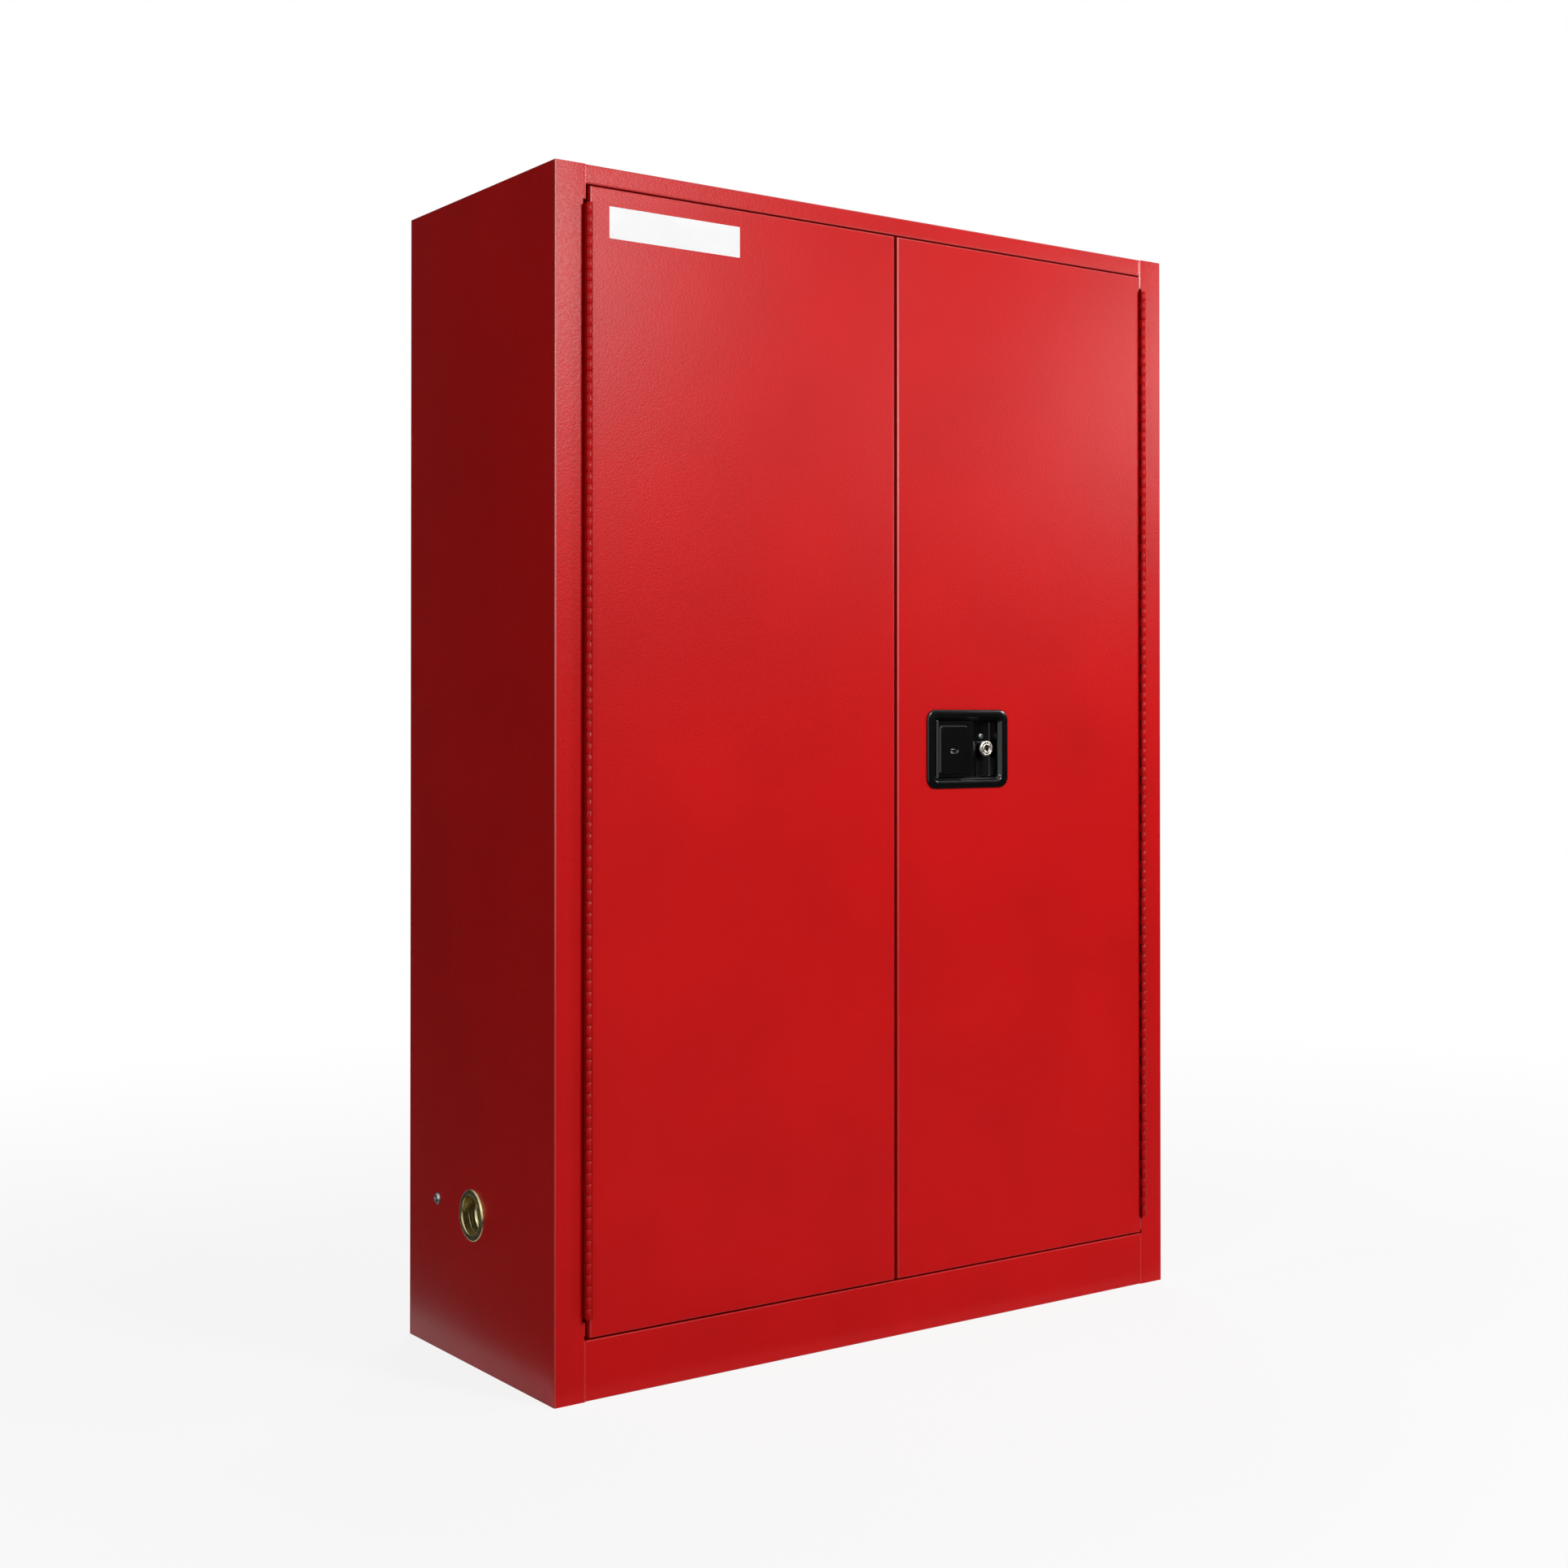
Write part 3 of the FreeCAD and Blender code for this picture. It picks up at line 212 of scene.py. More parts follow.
def cut_out(made, cutter_shape):
    """Cut one closed shape out of a piece and keep the result as its mesh."""
    mesh = bpy.data.meshes.new("cutter")
    bmesh.ops.recalc_face_normals(cutter_shape, faces=cutter_shape.faces)
    cutter_shape.to_mesh(mesh)
    cutter_shape.free()
    cutter = bpy.data.objects.new("cutter", mesh)
    bpy.context.scene.collection.objects.link(cutter)
    boolean = made.modifiers.new("cut", "BOOLEAN")
    boolean.operation = "DIFFERENCE"
    boolean.solver = "EXACT"
    boolean.object = cutter
    graph = bpy.context.evaluated_depsgraph_get()
    graph.update()
    result = bpy.data.meshes.new_from_object(made.evaluated_get(graph))
    made.modifiers.remove(boolean)
    result.shade_smooth()
    result.set_sharp_from_angle(angle=math.radians(SMOOTH))
    made.data = result
    bpy.data.objects.remove(cutter)


# Materials


def add_node(tree, kind, inputs=None, **settings):
    """Add a node, set its properties and fill its inputs with values or links."""
    made = tree.nodes.new(kind)
    for name, value in settings.items():
        setattr(made, name, value)
    for key, value in (inputs or {}).items():
        if isinstance(value, bpy.types.NodeSocket):
            tree.links.new(value, made.inputs[key])
        else:
            made.inputs[key].default_value = value
    return made


def start_material(name):
    """The tree, the Principled shader and the object's place of a new material."""
    made = bpy.data.materials.new(name)
    made.use_nodes = True
    tree = made.node_tree
    tree.nodes.clear()
    out = add_node(tree, "ShaderNodeOutputMaterial")
    shader = add_node(tree, "ShaderNodeBsdfPrincipled")
    tree.links.new(shader.outputs["BSDF"], out.inputs["Surface"])
    place = add_node(tree, "ShaderNodeTexCoord").outputs["Object"]
    return tree, shader, place


def waves(tree, place, size, detail=2.0, roughness=0.5):
    """The value of a noise whose features are about size metres across."""
    return add_node(tree, "ShaderNodeTexNoise", {
        "Vector": place, "Scale": 1.0 / size, "Detail": detail,
        "Roughness": roughness}).outputs["Fac"]


def spread(tree, value, low, high, start=0.3, end=0.7):
    """Map a 0 to 1 value between start and end to low and high."""
    return add_node(tree, "ShaderNodeMapRange", {
        "Value": value, "From Min": start, "From Max": end,
        "To Min": low, "To Max": high}).outputs["Result"]


def combine(tree, first, second, operation):
    """Two values, or a value and a number, through one operation of a math node."""
    return add_node(tree, "ShaderNodeMath", {0: first, 1: second}, operation=operation).outputs[0]


def two_colours(tree, factor, first, second):
    """A ramp between two sRGB hex colours."""
    ramp = add_node(tree, "ShaderNodeValToRGB", {"Fac": factor})
    ramp.color_ramp.elements[0].color = linear(first)
    ramp.color_ramp.elements[1].color = linear(second)
    return ramp.outputs["Color"]


def bumped(tree, shader, height, strength, distance):
    """Give the shader a bump from a height."""
    bump = add_node(tree, "ShaderNodeBump", {
        "Height": height, "Strength": strength, "Distance": distance})
    tree.links.new(bump.outputs["Normal"], shader.inputs["Normal"])


def dress(tree, shader, colour, roughness, metallic=0.0):
    """Give the shader its colour, its roughness and its share of bare metal."""
    tree.links.new(colour, shader.inputs["Base Color"])
    tree.links.new(roughness, shader.inputs["Roughness"])
    shader.inputs["Metallic"].default_value = metallic


def shade(hex_colour, factor):
    """The same sRGB hex colour, lighter or darker by a factor."""
    values = [min(255, int(int(hex_colour[i:i + 2], 16) * factor)) for i in (1, 3, 5)]
    return "#%02X%02X%02X" % tuple(values)


def bends(tree):
    """The mask of the painted edge highlight and of the glossier bends: one on the upright bends
    of a sheet, where its face turns away from all three axes, and about a third on its level bends."""
    facing = add_node(tree, "ShaderNodeTexCoord").outputs["Normal"]
    parts = add_node(tree, "ShaderNodeSeparateXYZ", {0: add_node(
        tree, "ShaderNodeVectorMath", {0: facing}, operation="ABSOLUTE").outputs["Vector"]})
    most = combine(tree, parts.outputs["X"], parts.outputs["Y"], "MAXIMUM")
    most = combine(tree, most, parts.outputs["Z"], "MAXIMUM")
    bend = spread(tree, most, 1.0, 0.0, 0.93, 0.995)
    upright_share = spread(tree, parts.outputs["Z"], 1.0, 0.35, 0.05, 0.3)
    return combine(tree, bend, upright_share, "MULTIPLY")


def red_powder_coat(name, paint, grain, edge_highlight_and_gloss):
    # Polyester powder baked on steel: a semi-gloss skin with a fine orange peel, which
    # breaks every highlight into small grains. The real peel is about 1.5 mm; it is drawn
    # twice as coarse, because it would vanish at this picture's size. On the bends the
    # colour is mixed towards a pale pink: a painted highlight along each edge, strongest
    # near the top and fading towards the bottom, weaker on level bends. The bends are
    # also glossier, with a higher specular level.
    tree, shader, place = start_material(name)
    peel = waves(tree, place, grain, 3.0, 0.6)
    cloud = waves(tree, place, 0.22)
    colour = two_colours(
        tree, spread(tree, cloud, 0.0, 1.0), shade(paint, 0.965), shade(paint, 1.02))
    height = add_node(tree, "ShaderNodeSeparateXYZ", {0: place}).outputs["Z"]
    # Mask of the painted edge highlight: the bends, weighted from 0.2 low down to 1.0 near the top
    bend = combine(tree, bends(tree), spread(tree, height, 0.2, 1.0, 0.5, 1.3), "MULTIPLY")
    share = combine(tree, bend, edge_highlight_and_gloss, "MULTIPLY")
    # Painted highlight: on the bends the paint is mixed towards pale pink #F2A3A0
    colour_with_painted_highlight = add_node(tree, "ShaderNodeMix", {
        "Factor": share, 6: colour, 7: linear("#F2A3A0")}, data_type="RGBA").outputs[2]
    gloss = combine(tree, bend, 0.3 * edge_highlight_and_gloss, "MULTIPLY")
    dress(tree, shader, colour_with_painted_highlight, combine(tree, spread(tree, peel, 0.29, 0.36), gloss, "SUBTRACT"))
    shader.inputs["IOR"].default_value = 1.5
    level = 0.15
    tree.links.new(spread(tree, bend, level, level + edge_highlight_and_gloss, 0.0, 1.0), shader.inputs["Specular IOR Level"])
    bumped(tree, shader, peel, 0.4, 0.0006)


def black_latch_coat(colour):
    # Epoxy powder over pressed steel: black, smoother and glossier than the doors, so that
    # every rounded edge draws a thin bright line.
    tree, shader, place = start_material("black epoxy coat")
    peel = waves(tree, place, 0.0022)
    cloud = waves(tree, place, 0.03, 1.0)
    colour = two_colours(tree, spread(tree, cloud, 0.0, 1.0), shade(colour, 0.9), shade(colour, 1.25))
    dress(tree, shader, colour, spread(tree, peel, 0.15, 0.20))
    shader.inputs["IOR"].default_value = 1.5
    bumped(tree, shader, peel, 0.04, 0.0002)


def turned_brass():
    # Brass turned on a lathe and left bare: yellow metal that has dulled to olive, with fine
    # feed marks round the axis, drawn at 0.5 mm where the real ones are 0.1 mm.
    tree, shader, place = start_material("turned brass")
    cloud = waves(tree, place, 0.012, 3.0, 0.6)
    colour = two_colours(tree, spread(tree, cloud, 0.0, 1.0), "#C4B684", "#D8CC9C")
    marks = add_node(tree, "ShaderNodeTexNoise", {
        "Vector": add_node(tree, "ShaderNodeMapping", {
            "Vector": place, "Scale": (2200.0, 60.0, 60.0)}, vector_type="POINT").outputs["Vector"],
        "Scale": 1.0, "Detail": 1.0}).outputs["Fac"]
    dress(tree, shader, colour, spread(tree, cloud, 0.24, 0.32), 1.0)
    bumped(tree, shader, marks, 0.06, 0.0001)


def nickel_plate():
    # Nickel plated brass, rolled smooth: warm grey metal with soft reflections.
    tree, shader, place = start_material("satin nickel plate")
    cloud = waves(tree, place, 0.004)
    colour = two_colours(tree, spread(tree, cloud, 0.0, 1.0), "#B9B3A8", "#D6D1C7")
    dress(tree, shader, colour, spread(tree, cloud, 0.24, 0.34), 1.0)
    bumped(tree, shader, cloud, 0.05, 0.0002)


def zinc_plate():
    # Bright zinc plate with a clear passivation: cool grey with faint blue and yellow clouds.
    tree, shader, place = start_material("zinc plated steel")
    cloud = waves(tree, place, 0.02, 3.0, 0.55)
    colour = two_colours(tree, spread(tree, cloud, 0.0, 1.0), "#A9ADB0", "#C9CBC8")
    fine = waves(tree, place, 0.0015)
    dress(tree, shader, colour, spread(tree, fine, 0.28, 0.42), 1.0)
    bumped(tree, shader, fine, 0.08, 0.0002)


def galvanised_sheet():
    # Hot dip galvanised sheet: crystals of zinc, 8 to 15 mm across, each with its own grey.
    tree, shader, place = start_material("galvanised sheet")
    crystal, ragged = 0.012, 0.004
    wander = add_node(tree, "ShaderNodeTexNoise", {"Vector": place, "Scale": 90.0, "Detail": 2.0})
    edge = add_node(tree, "ShaderNodeVectorMath", {
        0: wander.outputs["Color"], 1: (ragged, ragged, ragged)}, operation="MULTIPLY")
    bent = add_node(tree, "ShaderNodeVectorMath", {
        0: place, 1: edge.outputs["Vector"]}, operation="ADD").outputs["Vector"]
    cells = add_node(tree, "ShaderNodeTexVoronoi", {
        "Vector": bent, "Scale": 1 / crystal}, feature="F1").outputs["Color"]
    tone = add_node(tree, "ShaderNodeSeparateColor", {"Color": cells}).outputs["Red"]
    colour = two_colours(tree, tone, "#A3A8AB", "#C2C6C8")
    dress(tree, shader, colour, spread(tree, tone, 0.32, 0.5, 0.0, 1.0), 1.0)
    bumped(tree, shader, tone, 0.06, 0.0003)


def steel_mesh():
    # Woven stainless wire: bright on the crowns, with a fine drawn grain.
    tree, shader, place = start_material("woven stainless wire")
    fine = waves(tree, place, 0.0008)
    colour = two_colours(tree, spread(tree, fine, 0.0, 1.0), "#8E9091", "#B5B6B5")
    dress(tree, shader, colour, spread(tree, fine, 0.3, 0.42), 1.0)
    bumped(tree, shader, fine, 0.05, 0.0001)


def label_vinyl(colour):
    # Calendered vinyl film with a satin face: clean white, flat, with a trace of the
    # powder coat's peel coming through.
    tree, shader, place = start_material("white vinyl film")
    peel = waves(tree, place, 0.004)
    cloud = waves(tree, place, 0.05, 1.0)
    face = two_colours(tree, spread(tree, cloud, 0.0, 1.0), shade(colour, 0.985), colour)
    dress(tree, shader, face, spread(tree, peel, 0.32, 0.4))
    shader.inputs["IOR"].default_value = 1.49
    shader.inputs["Specular IOR Level"].default_value = 0.15
    bumped(tree, shader, peel, 0.05, 0.0003)


class CABINET_OT_materials(bpy.types.Operator):
    """Make every finish of the cabinet"""

    bl_idname = "cabinet.materials"
    bl_label = "Make the finishes"

    def execute(self, context):
        colours = context.scene.cabinet_colours
        grain = context.scene.cabinet_sizes.grain
        # 0.55: the strength of the painted edge highlight and of the gloss on the bends; the hinges get
        #       none
        red_powder_coat("powder coated steel", colours.paint, grain, 0.55)
        # The hinges: the body's paint darkened by 0.92, a painted shade on the barrels, with no painted
        # edge highlight
        red_powder_coat("powder coated hinge", shade(colours.paint, 0.92), grain, 0.0)
        black_latch_coat(colours.latch)
        turned_brass()
        nickel_plate()
        zinc_plate()
        galvanised_sheet()
        steel_mesh()
        label_vinyl(colours.label)
        return {"FINISHED"}


# Sheet metal: the imported solids keep their shapes, get smooth shading on their bends and their finish


FINISH_OF_SLOT = {
    "red_powder_coat": "powder coated steel",
    "black_coat": "black epoxy coat",
    "brass": "turned brass",
    "nickel": "satin nickel plate",
    "zinc_plate": "zinc plated steel",
    "galvanised": "galvanised sheet",
}


WELD = 0.01 * MM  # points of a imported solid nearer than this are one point


def smooth_group():
    """A geometry node group that smooths faces and keeps the edges over 28 degrees sharp."""
    group = bpy.data.node_groups.new("smooth bends", "GeometryNodeTree")
    group.interface.new_socket("Geometry", in_out="INPUT", socket_type="NodeSocketGeometry")
    group.interface.new_socket("Geometry", in_out="OUTPUT", socket_type="NodeSocketGeometry")
    start = group.nodes.new("NodeGroupInput")
    end = group.nodes.new("NodeGroupOutput")
    welded = add_node(group, "GeometryNodeMergeByDistance", {
        "Geometry": start.outputs[0], "Distance": WELD})
    faces = add_node(group, "GeometryNodeSetShadeSmooth", {
        "Geometry": welded.outputs["Geometry"], "Shade Smooth": True}, domain="FACE")
    angle = add_node(group, "GeometryNodeInputMeshEdgeAngle")
    steep = add_node(group, "FunctionNodeCompare", {
        "A": angle.outputs["Unsigned Angle"], "B": math.radians(28)},
        data_type="FLOAT", operation="GREATER_THAN")
    edges = add_node(group, "GeometryNodeSetShadeSmooth", {
        "Geometry": faces.outputs["Geometry"], "Selection": steep.outputs["Result"],
        "Shade Smooth": False}, domain="EDGE")
    group.links.new(edges.outputs["Geometry"], end.inputs[0])
    return group


class CABINET_OT_sheet_metal(bpy.types.Operator):
    """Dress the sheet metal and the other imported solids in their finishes"""

    bl_idname = "cabinet.sheet_metal"
    bl_label = "Dress the solids"

    def execute(self, context):
        slots = {p["node"]: p["material_slot"] for p in frame["record"]["subparts"]}
        group = smooth_group()
        for name, made in nodes.items():
            finish = bpy.data.materials[FINISH_OF_SLOT[slots[name]]]
            made.data.materials.clear()
            made.data.materials.append(finish)
            weld = made.modifiers.new("smooth bends", "NODES")
            weld.node_group = group
        return {"FINISHED"}


# Continuous hinges


def knuckle(shape, cx, cy, z0, z1, radius, bore, steps=20):
    """One rolled knuckle: a short tube with eased ends."""
    ease = 0.25 * MM
    rings = turned([
        (z0, bore), (z0, radius - ease), (z0 + ease, radius),
        (z1 - ease, radius), (z1, radius - ease), (z1, bore)], (cx, cy, 0), "Z", steps)
    close_round(shape, rings)


def hinge_leaf(side, door):
    """The mesh of one leaf of the hinge on the left (side -1) or the right (side 1)."""
    word = "left" if side < 0 else "right"
    low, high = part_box(word + "_hinge_frame_leaf")
    pin_low, pin_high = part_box(word + "_hinge_pin")
    cx, cy = (pin_low.x + pin_high.x) / 2, (pin_low.y + pin_high.y) / 2
    bore = (pin_high.x - pin_low.x) / 2 + 0.05 * MM
    radius, thickness, gap = 4.2 * MM, 1.4 * MM, 0.4 * MM
    count = round((high.z - low.z) / bpy.context.scene.cabinet_sizes.knuckle)
    count += 1 - count % 2
    step = (high.z - low.z) / count
    towards = side if not door else -side
    near, far = cx + towards * (radius - thickness), cx + towards * radius
    neck_near, neck_far = (near, far) if door else (cx, cx + towards * thickness)
    start, jog, back = cy + radius + 0.8 * MM, cy + 9 * MM, cy + 12.5 * MM
    plan = [
        (neck_near, start), (neck_near, jog), (near, back), (near, high.y),
        (far, high.y), (far, back), (neck_far, jog), (neck_far, start)]
    shape = bmesh.new()
    upright(shape, plan, low.z, high.z)
    x0, x1 = sorted((neck_near, neck_far))
    neck_start = cy if door else cy + 2.2 * MM
    for i in range(1 if door else 0, count, 2):
        z0, z1 = low.z + step * i + gap / 2, low.z + step * (i + 1) - gap / 2
        knuckle(shape, cx, cy, z0, z1, radius, bore)
        add_box(shape, x0 + 0.02 * MM, x1 - 0.02 * MM, neck_start, start + 0.4 * MM,
                z0 + 0.2 * MM, z1 - 0.2 * MM)
    return shape


class CABINET_OT_hinges(bpy.types.Operator):
    """Build the finely knuckled leaves of the two continuous hinges"""

    bl_idname = "cabinet.hinges"
    bl_label = "Build the hinges"

    def execute(self, context):
        for side, word in ((-1, "left"), (1, "right")):
            for door in (False, True):
                part = "door" if door else "frame"
                node = word + "_hinge_" + part + "_leaf"
                body = word + "_door" if door else "cabinet"
                piece(node + "_knuckled", hinge_leaf(side, door), body,
                      "powder coated hinge", (node,), 50)
        return {"FINISHED"}


# Paddle latch: dish, paddle, key lock and inner cover

NOSE = 7 * MM  # radius of the paddle's sheet where it is rolled round the pin
LIP_REACH = 76.6 * MM  # from the pin to the tip of the finger lip
TAIL_ARM = 21.37 * MM


def front_rings(cx, cz, face, rows):
    """Rounded rectangles from rows of width, height, corner radius and depth behind a face, in mm."""
    return [
        rounded_ring(cx, cz, w * MM, h * MM, r * MM, face + back * MM)
        for w, h, r, back in rows]


def latch_dish():
    """The pressed dish: a rolled rim, sloped shoulders and a tub with a slotted floor."""
    low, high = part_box("latch_dish")
    cx, cz, face = (low.x + high.x) / 2, (low.z + high.z) / 2, low.y
    rows = (
        (121.5, 87.0, 5.0, 26.0), (123.4, 89.0, 5.5, 25.2), (123.4, 89.0, 5.5, 6.5),
        (126.0, 92.0, 6.5, 3.5), (154.0, 118.5, 16.0, 3.5), (154.0, 118.5, 16.0, 2.4),
        (153.5, 118.0, 15.7, 1.2), (152.3, 116.8, 15.1, 0.4), (150.4, 114.9, 14.2, 0.0),
        (131.0, 99.0, 9.5, 0.0), (129.0, 97.0, 8.9, 0.3), (127.4, 95.4, 8.3, 1.0),
        (126.4, 94.4, 7.9, 1.9), (122.4, 88.6, 6.0, 4.4), (121.0, 86.8, 5.0, 5.1),
        (120.4, 86.0, 4.4, 6.2), (120.4, 86.0, 4.0, 22.4), (119.9, 85.5, 3.8, 23.5),
        (118.8, 84.4, 3.3, 24.2), (117.2, 82.8, 2.6, 24.5))
    shape = bmesh.new()
    loft(shape, front_rings(cx, cz, face, rows))
    made = piece("latch_dish_pressed", shape, "right_door",
                 "black epoxy coat", ("latch_dish",))
    slot = bmesh.new()
    pin_radius, before, after, half = 2.5 * MM, 3 * MM, 20 * MM, 6 * MM
    tail_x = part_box("paddle_pin")[0].x + pin_radius
    tail_z = paddle_tail_height(cz)
    add_box(slot, tail_x - before, tail_x + after, face + 23.5 * MM, face + 27 * MM,
            tail_z - half, tail_z + half)
    cut_out(made, slot)
    shaft = bmesh.new()
    rows = ((25.5, 0.0071), (28.2, 0.0071), (28.2, 0.0034), ((high.y - face) / MM, 0.0034))
    loft(shaft, turned([(face + back * MM, r) for back, r in rows], (cx, 0, cz), "Y", 32))
    piece("dish_shaft", shaft, "right_door", "black epoxy coat")


def paddle_tail_height(cz):
    """The height of the tail's middle: the crank's own arm above the centre of the dish."""
    return cz + TAIL_ARM


def paddle_outline(pivot_x, pivot_y):
    """The plan of the rolled sheet of the paddle, in metres."""
    nose = arc_points(pivot_x, pivot_y, NOSE, -40, 270, 40)
    radius, thickness = 20 * MM, 2.5 * MM
    bend_x, bend_y = pivot_x + LIP_REACH - radius, pivot_y + radius - NOSE
    outer = arc_points(bend_x, bend_y, radius, -90, -58, 10)
    lip = (pivot_x + LIP_REACH, pivot_y + 1.4 * MM)
    lip_inner = (pivot_x + LIP_REACH - 1.3 * MM, pivot_y + 3.5 * MM)
    inner = arc_points(bend_x, bend_y, radius - thickness, -58, -90, 10)
    return nose + outer + [lip, lip_inner] + inner


def paddle_field(shape, cx, cz, face):
    """The raised field of the paddle with the oval dimple of its rivet."""
    rings = front_rings(cx, cz, face, (
        (54.0, 75.0, 6.0, 0.6), (54.0, 75.0, 6.0, -0.1), (53.4, 74.4, 5.7, -0.4),
        (50.6, 71.6, 4.4, -1.7), (49.6, 70.6, 4.0, -1.9), (48.4, 69.4, 3.6, -1.9)))
    ovals = (
        (19.0, 12.7, -1.9), (17.5, 11.2, -1.9), (16.0, 10.0, -1.6), (13.2, 8.0, -0.5),
        (10.8, 6.2, -0.3), (9.2, 5.0, -0.6), (6.2, 3.4, -1.3), (3.0, 1.6, -1.6))
    for w, h, back in ovals:
        rings.append(rounded_ring(
            cx, cz, w * MM, h * MM, w * MM / 2, face + back * MM, radius_z=h * MM / 2))
    loft(shape, rings)


def paddle():
    """The handle: a sheet rolled round its pin, closed ends, a raised field and a tail."""
    low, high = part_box("paddle")
    pin_low, pin_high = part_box("paddle_pin")
    pivot_x, pivot_y = (pin_low.x + pin_high.x) / 2, (pin_low.y + pin_high.y) / 2
    face = pivot_y - NOSE
    shape = bmesh.new()
    upright(shape, paddle_outline(pivot_x, pivot_y), low.z, high.z)
    web = [(pivot_x + dx * MM, pivot_y + dy * MM) for dx, dy in (
        (0, -6.8), (56.0, -6.8), (65.0, -4.8), (73.5, 0.4), (64.0, 3.0), (0, 4.8))]
    outside, inside = 0.05 * MM, 2.2 * MM
    upright(shape, web, low.z + outside, low.z + inside)
    upright(shape, web, high.z - inside, high.z - outside)
    cz = (low.z + high.z) / 2
    tail_z = paddle_tail_height(cz)
    half_width, half_height, root = 1.5 * MM, 5 * MM, 3.2 * MM
    add_box(shape, pivot_x - half_width, pivot_x + half_width, pivot_y + root, high.y,
            tail_z - half_height, tail_z + half_height)
    made = piece("paddle_rolled", shape, "paddle", "black epoxy coat", ("paddle",))
    bore = bmesh.new()
    loft(bore, turned([(low.z - MM, 2.6 * MM), (high.z + MM, 2.6 * MM)], (pivot_x, pivot_y, 0), "Z", 24))
    cut_out(made, bore)
    round_off(made, 0.5 * MM, 3)
    raised = bmesh.new()
    across, down = 26 * MM, 1.5 * MM
    paddle_field(raised, pivot_x + across, cz - down, face)
    bmesh.ops.remove_doubles(raised, verts=raised.verts, dist=SAME)
    piece("paddle_field", raised, "paddle", "black epoxy coat", smooth=30)


def lock_centre():
    """The lock's axis, its face and its rear end."""
    low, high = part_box("lock_housing")
    return (low.x + high.x) / 2, (low.z + high.z) / 2, low.y, high.y


def lock_housing():
    """The nickel barrel of the lock, with a rounded rim round its plug."""
    cx, cz, face, end = lock_centre()
    floor = face + 16 * MM
    collar = bmesh.new()
    rows = (
        (floor, 12.5), (face + 3.4 * MM, 12.5), (face + 3.0 * MM, 12.1), (face + 3.0 * MM, 9.6),
        (floor, 9.6))
    sleeve = turned([(y, r * MM) for y, r in rows], (cx, 0, cz), "Y", 64)
    close_round(collar, sleeve)
    piece("lock_collar", collar, "right_door", "black epoxy coat", smooth=28)
    rows = [
        (face + 2.95 * MM, 9.5), (face + 2.95 * MM, 12.4), (face + 1.5 * MM, 12.4),
        (face + 0.7 * MM, 11.9), (face + 0.2 * MM, 11.0), (face, 10.0), (face, 9.2),
        (face + 0.3 * MM, 8.6), (face + 1.0 * MM, 8.2), (face + 1.0 * MM, 7.58),
        (end, 7.58), (end, 9.5)]
    rings = turned([(y, r * MM) for y, r in rows], (cx, 0, cz), "Y", 64)
    shape = bmesh.new()
    close_round(shape, rings)
    piece("lock_barrel", shape, "right_door", "satin nickel plate", ("lock_housing",), 28)


def lock_plug():
    """The plug with its bevelled keyway, and the cam on its rear end."""
    cx, cz, _, _ = lock_centre()
    low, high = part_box("lock_plug")
    front = low.y
    rows = (
        (front + 0.25 * MM, 5.6), (front, 6.0), (front, 6.7), (front + 0.25 * MM, 7.25),
        (front + 0.7 * MM, 7.5), (high.y, 7.5))
    shape = bmesh.new()
    loft(shape, turned([(y, r * MM) for y, r in rows], (cx, 0, cz), "Y", 64))
    made = piece("lock_plug_turned", shape, "lock_plug", "satin nickel plate", ("lock_plug",), 28)
    bevel = bmesh.new()
    rings = []
    eye = ((1, 0), (0.8, 0.35), (0.4, 0.75), (0.0, 1), (-0.4, 0.75), (-0.8, 0.35))
    eye += tuple((-sx, -sz) for sx, sz in eye)
    for w, h, back in ((6.2, 12.6, -0.5), (6.2, 12.6, 0.3), (3.4, 10.0, 2.0), (2.6, 9.0, 9.0)):
        rings.append([
            Vector((cx + sx * w * MM / 2, front + back * MM, cz + sz * h * MM / 2)) for sx, sz in eye])
    loft(bevel, rings)
    cut_out(made, bevel)
    shutter = bmesh.new()
    loft(shutter, [
        [Vector((cx + sx * 2.9 * MM, front + back * MM, cz + sz * 6.0 * MM)) for sx, sz in eye]
        for back in (0.55, 1.9)])
    made = piece("lock_shutter", shutter, "lock_plug", "black epoxy coat")
    slit = bmesh.new()
    add_box(slit, cx - 0.9 * MM, cx + 0.9 * MM, front, front + 3 * MM, cz - 4.2 * MM, cz + 4.2 * MM)
    cut_out(made, slit)
    cam = bmesh.new()
    half = 4.5 * MM
    add_box(cam, low.x if low.x > cx - 5 * MM else cx - half, cx + half,
            high.y - 2 * MM, high.y - 0.02 * MM, low.z, cz)
    round_off(piece("lock_cam", cam, "lock_plug", "satin nickel plate"), 0.3 * MM, 2)


def latch_cover():
    """The pressed cover of the mechanism inside the door: a flat flange and a raised field."""
    low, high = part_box("latch_cover")
    w, h, flat = (high.x - low.x) / MM, (high.z - low.z) / MM, (high.y - low.y) / MM
    rows = (
        (w, h, 16.0, 0.0), (w, h, 16.0, flat - 0.3), (w - 0.6, h - 0.6, 15.7, flat),
        (w - 30, h - 30, 12.3, flat), (w - 31, h - 31, 12.0, flat),
        (w - 32, h - 32, 11.6, flat + 0.2), (w - 38, h - 38, 9.0, flat + 3.0),
        (w - 40, h - 40, 8.4, flat + 3.4), (w - 42, h - 42, 8.0, flat + 3.5),
        (w - 44, h - 44, 7.4, flat + 3.5))
    shape = bmesh.new()
    loft(shape, front_rings((low.x + high.x) / 2, (low.z + high.z) / 2, low.y, rows))
    piece("latch_cover_pressed", shape, "right_door",
          "powder coated steel", ("latch_cover",))


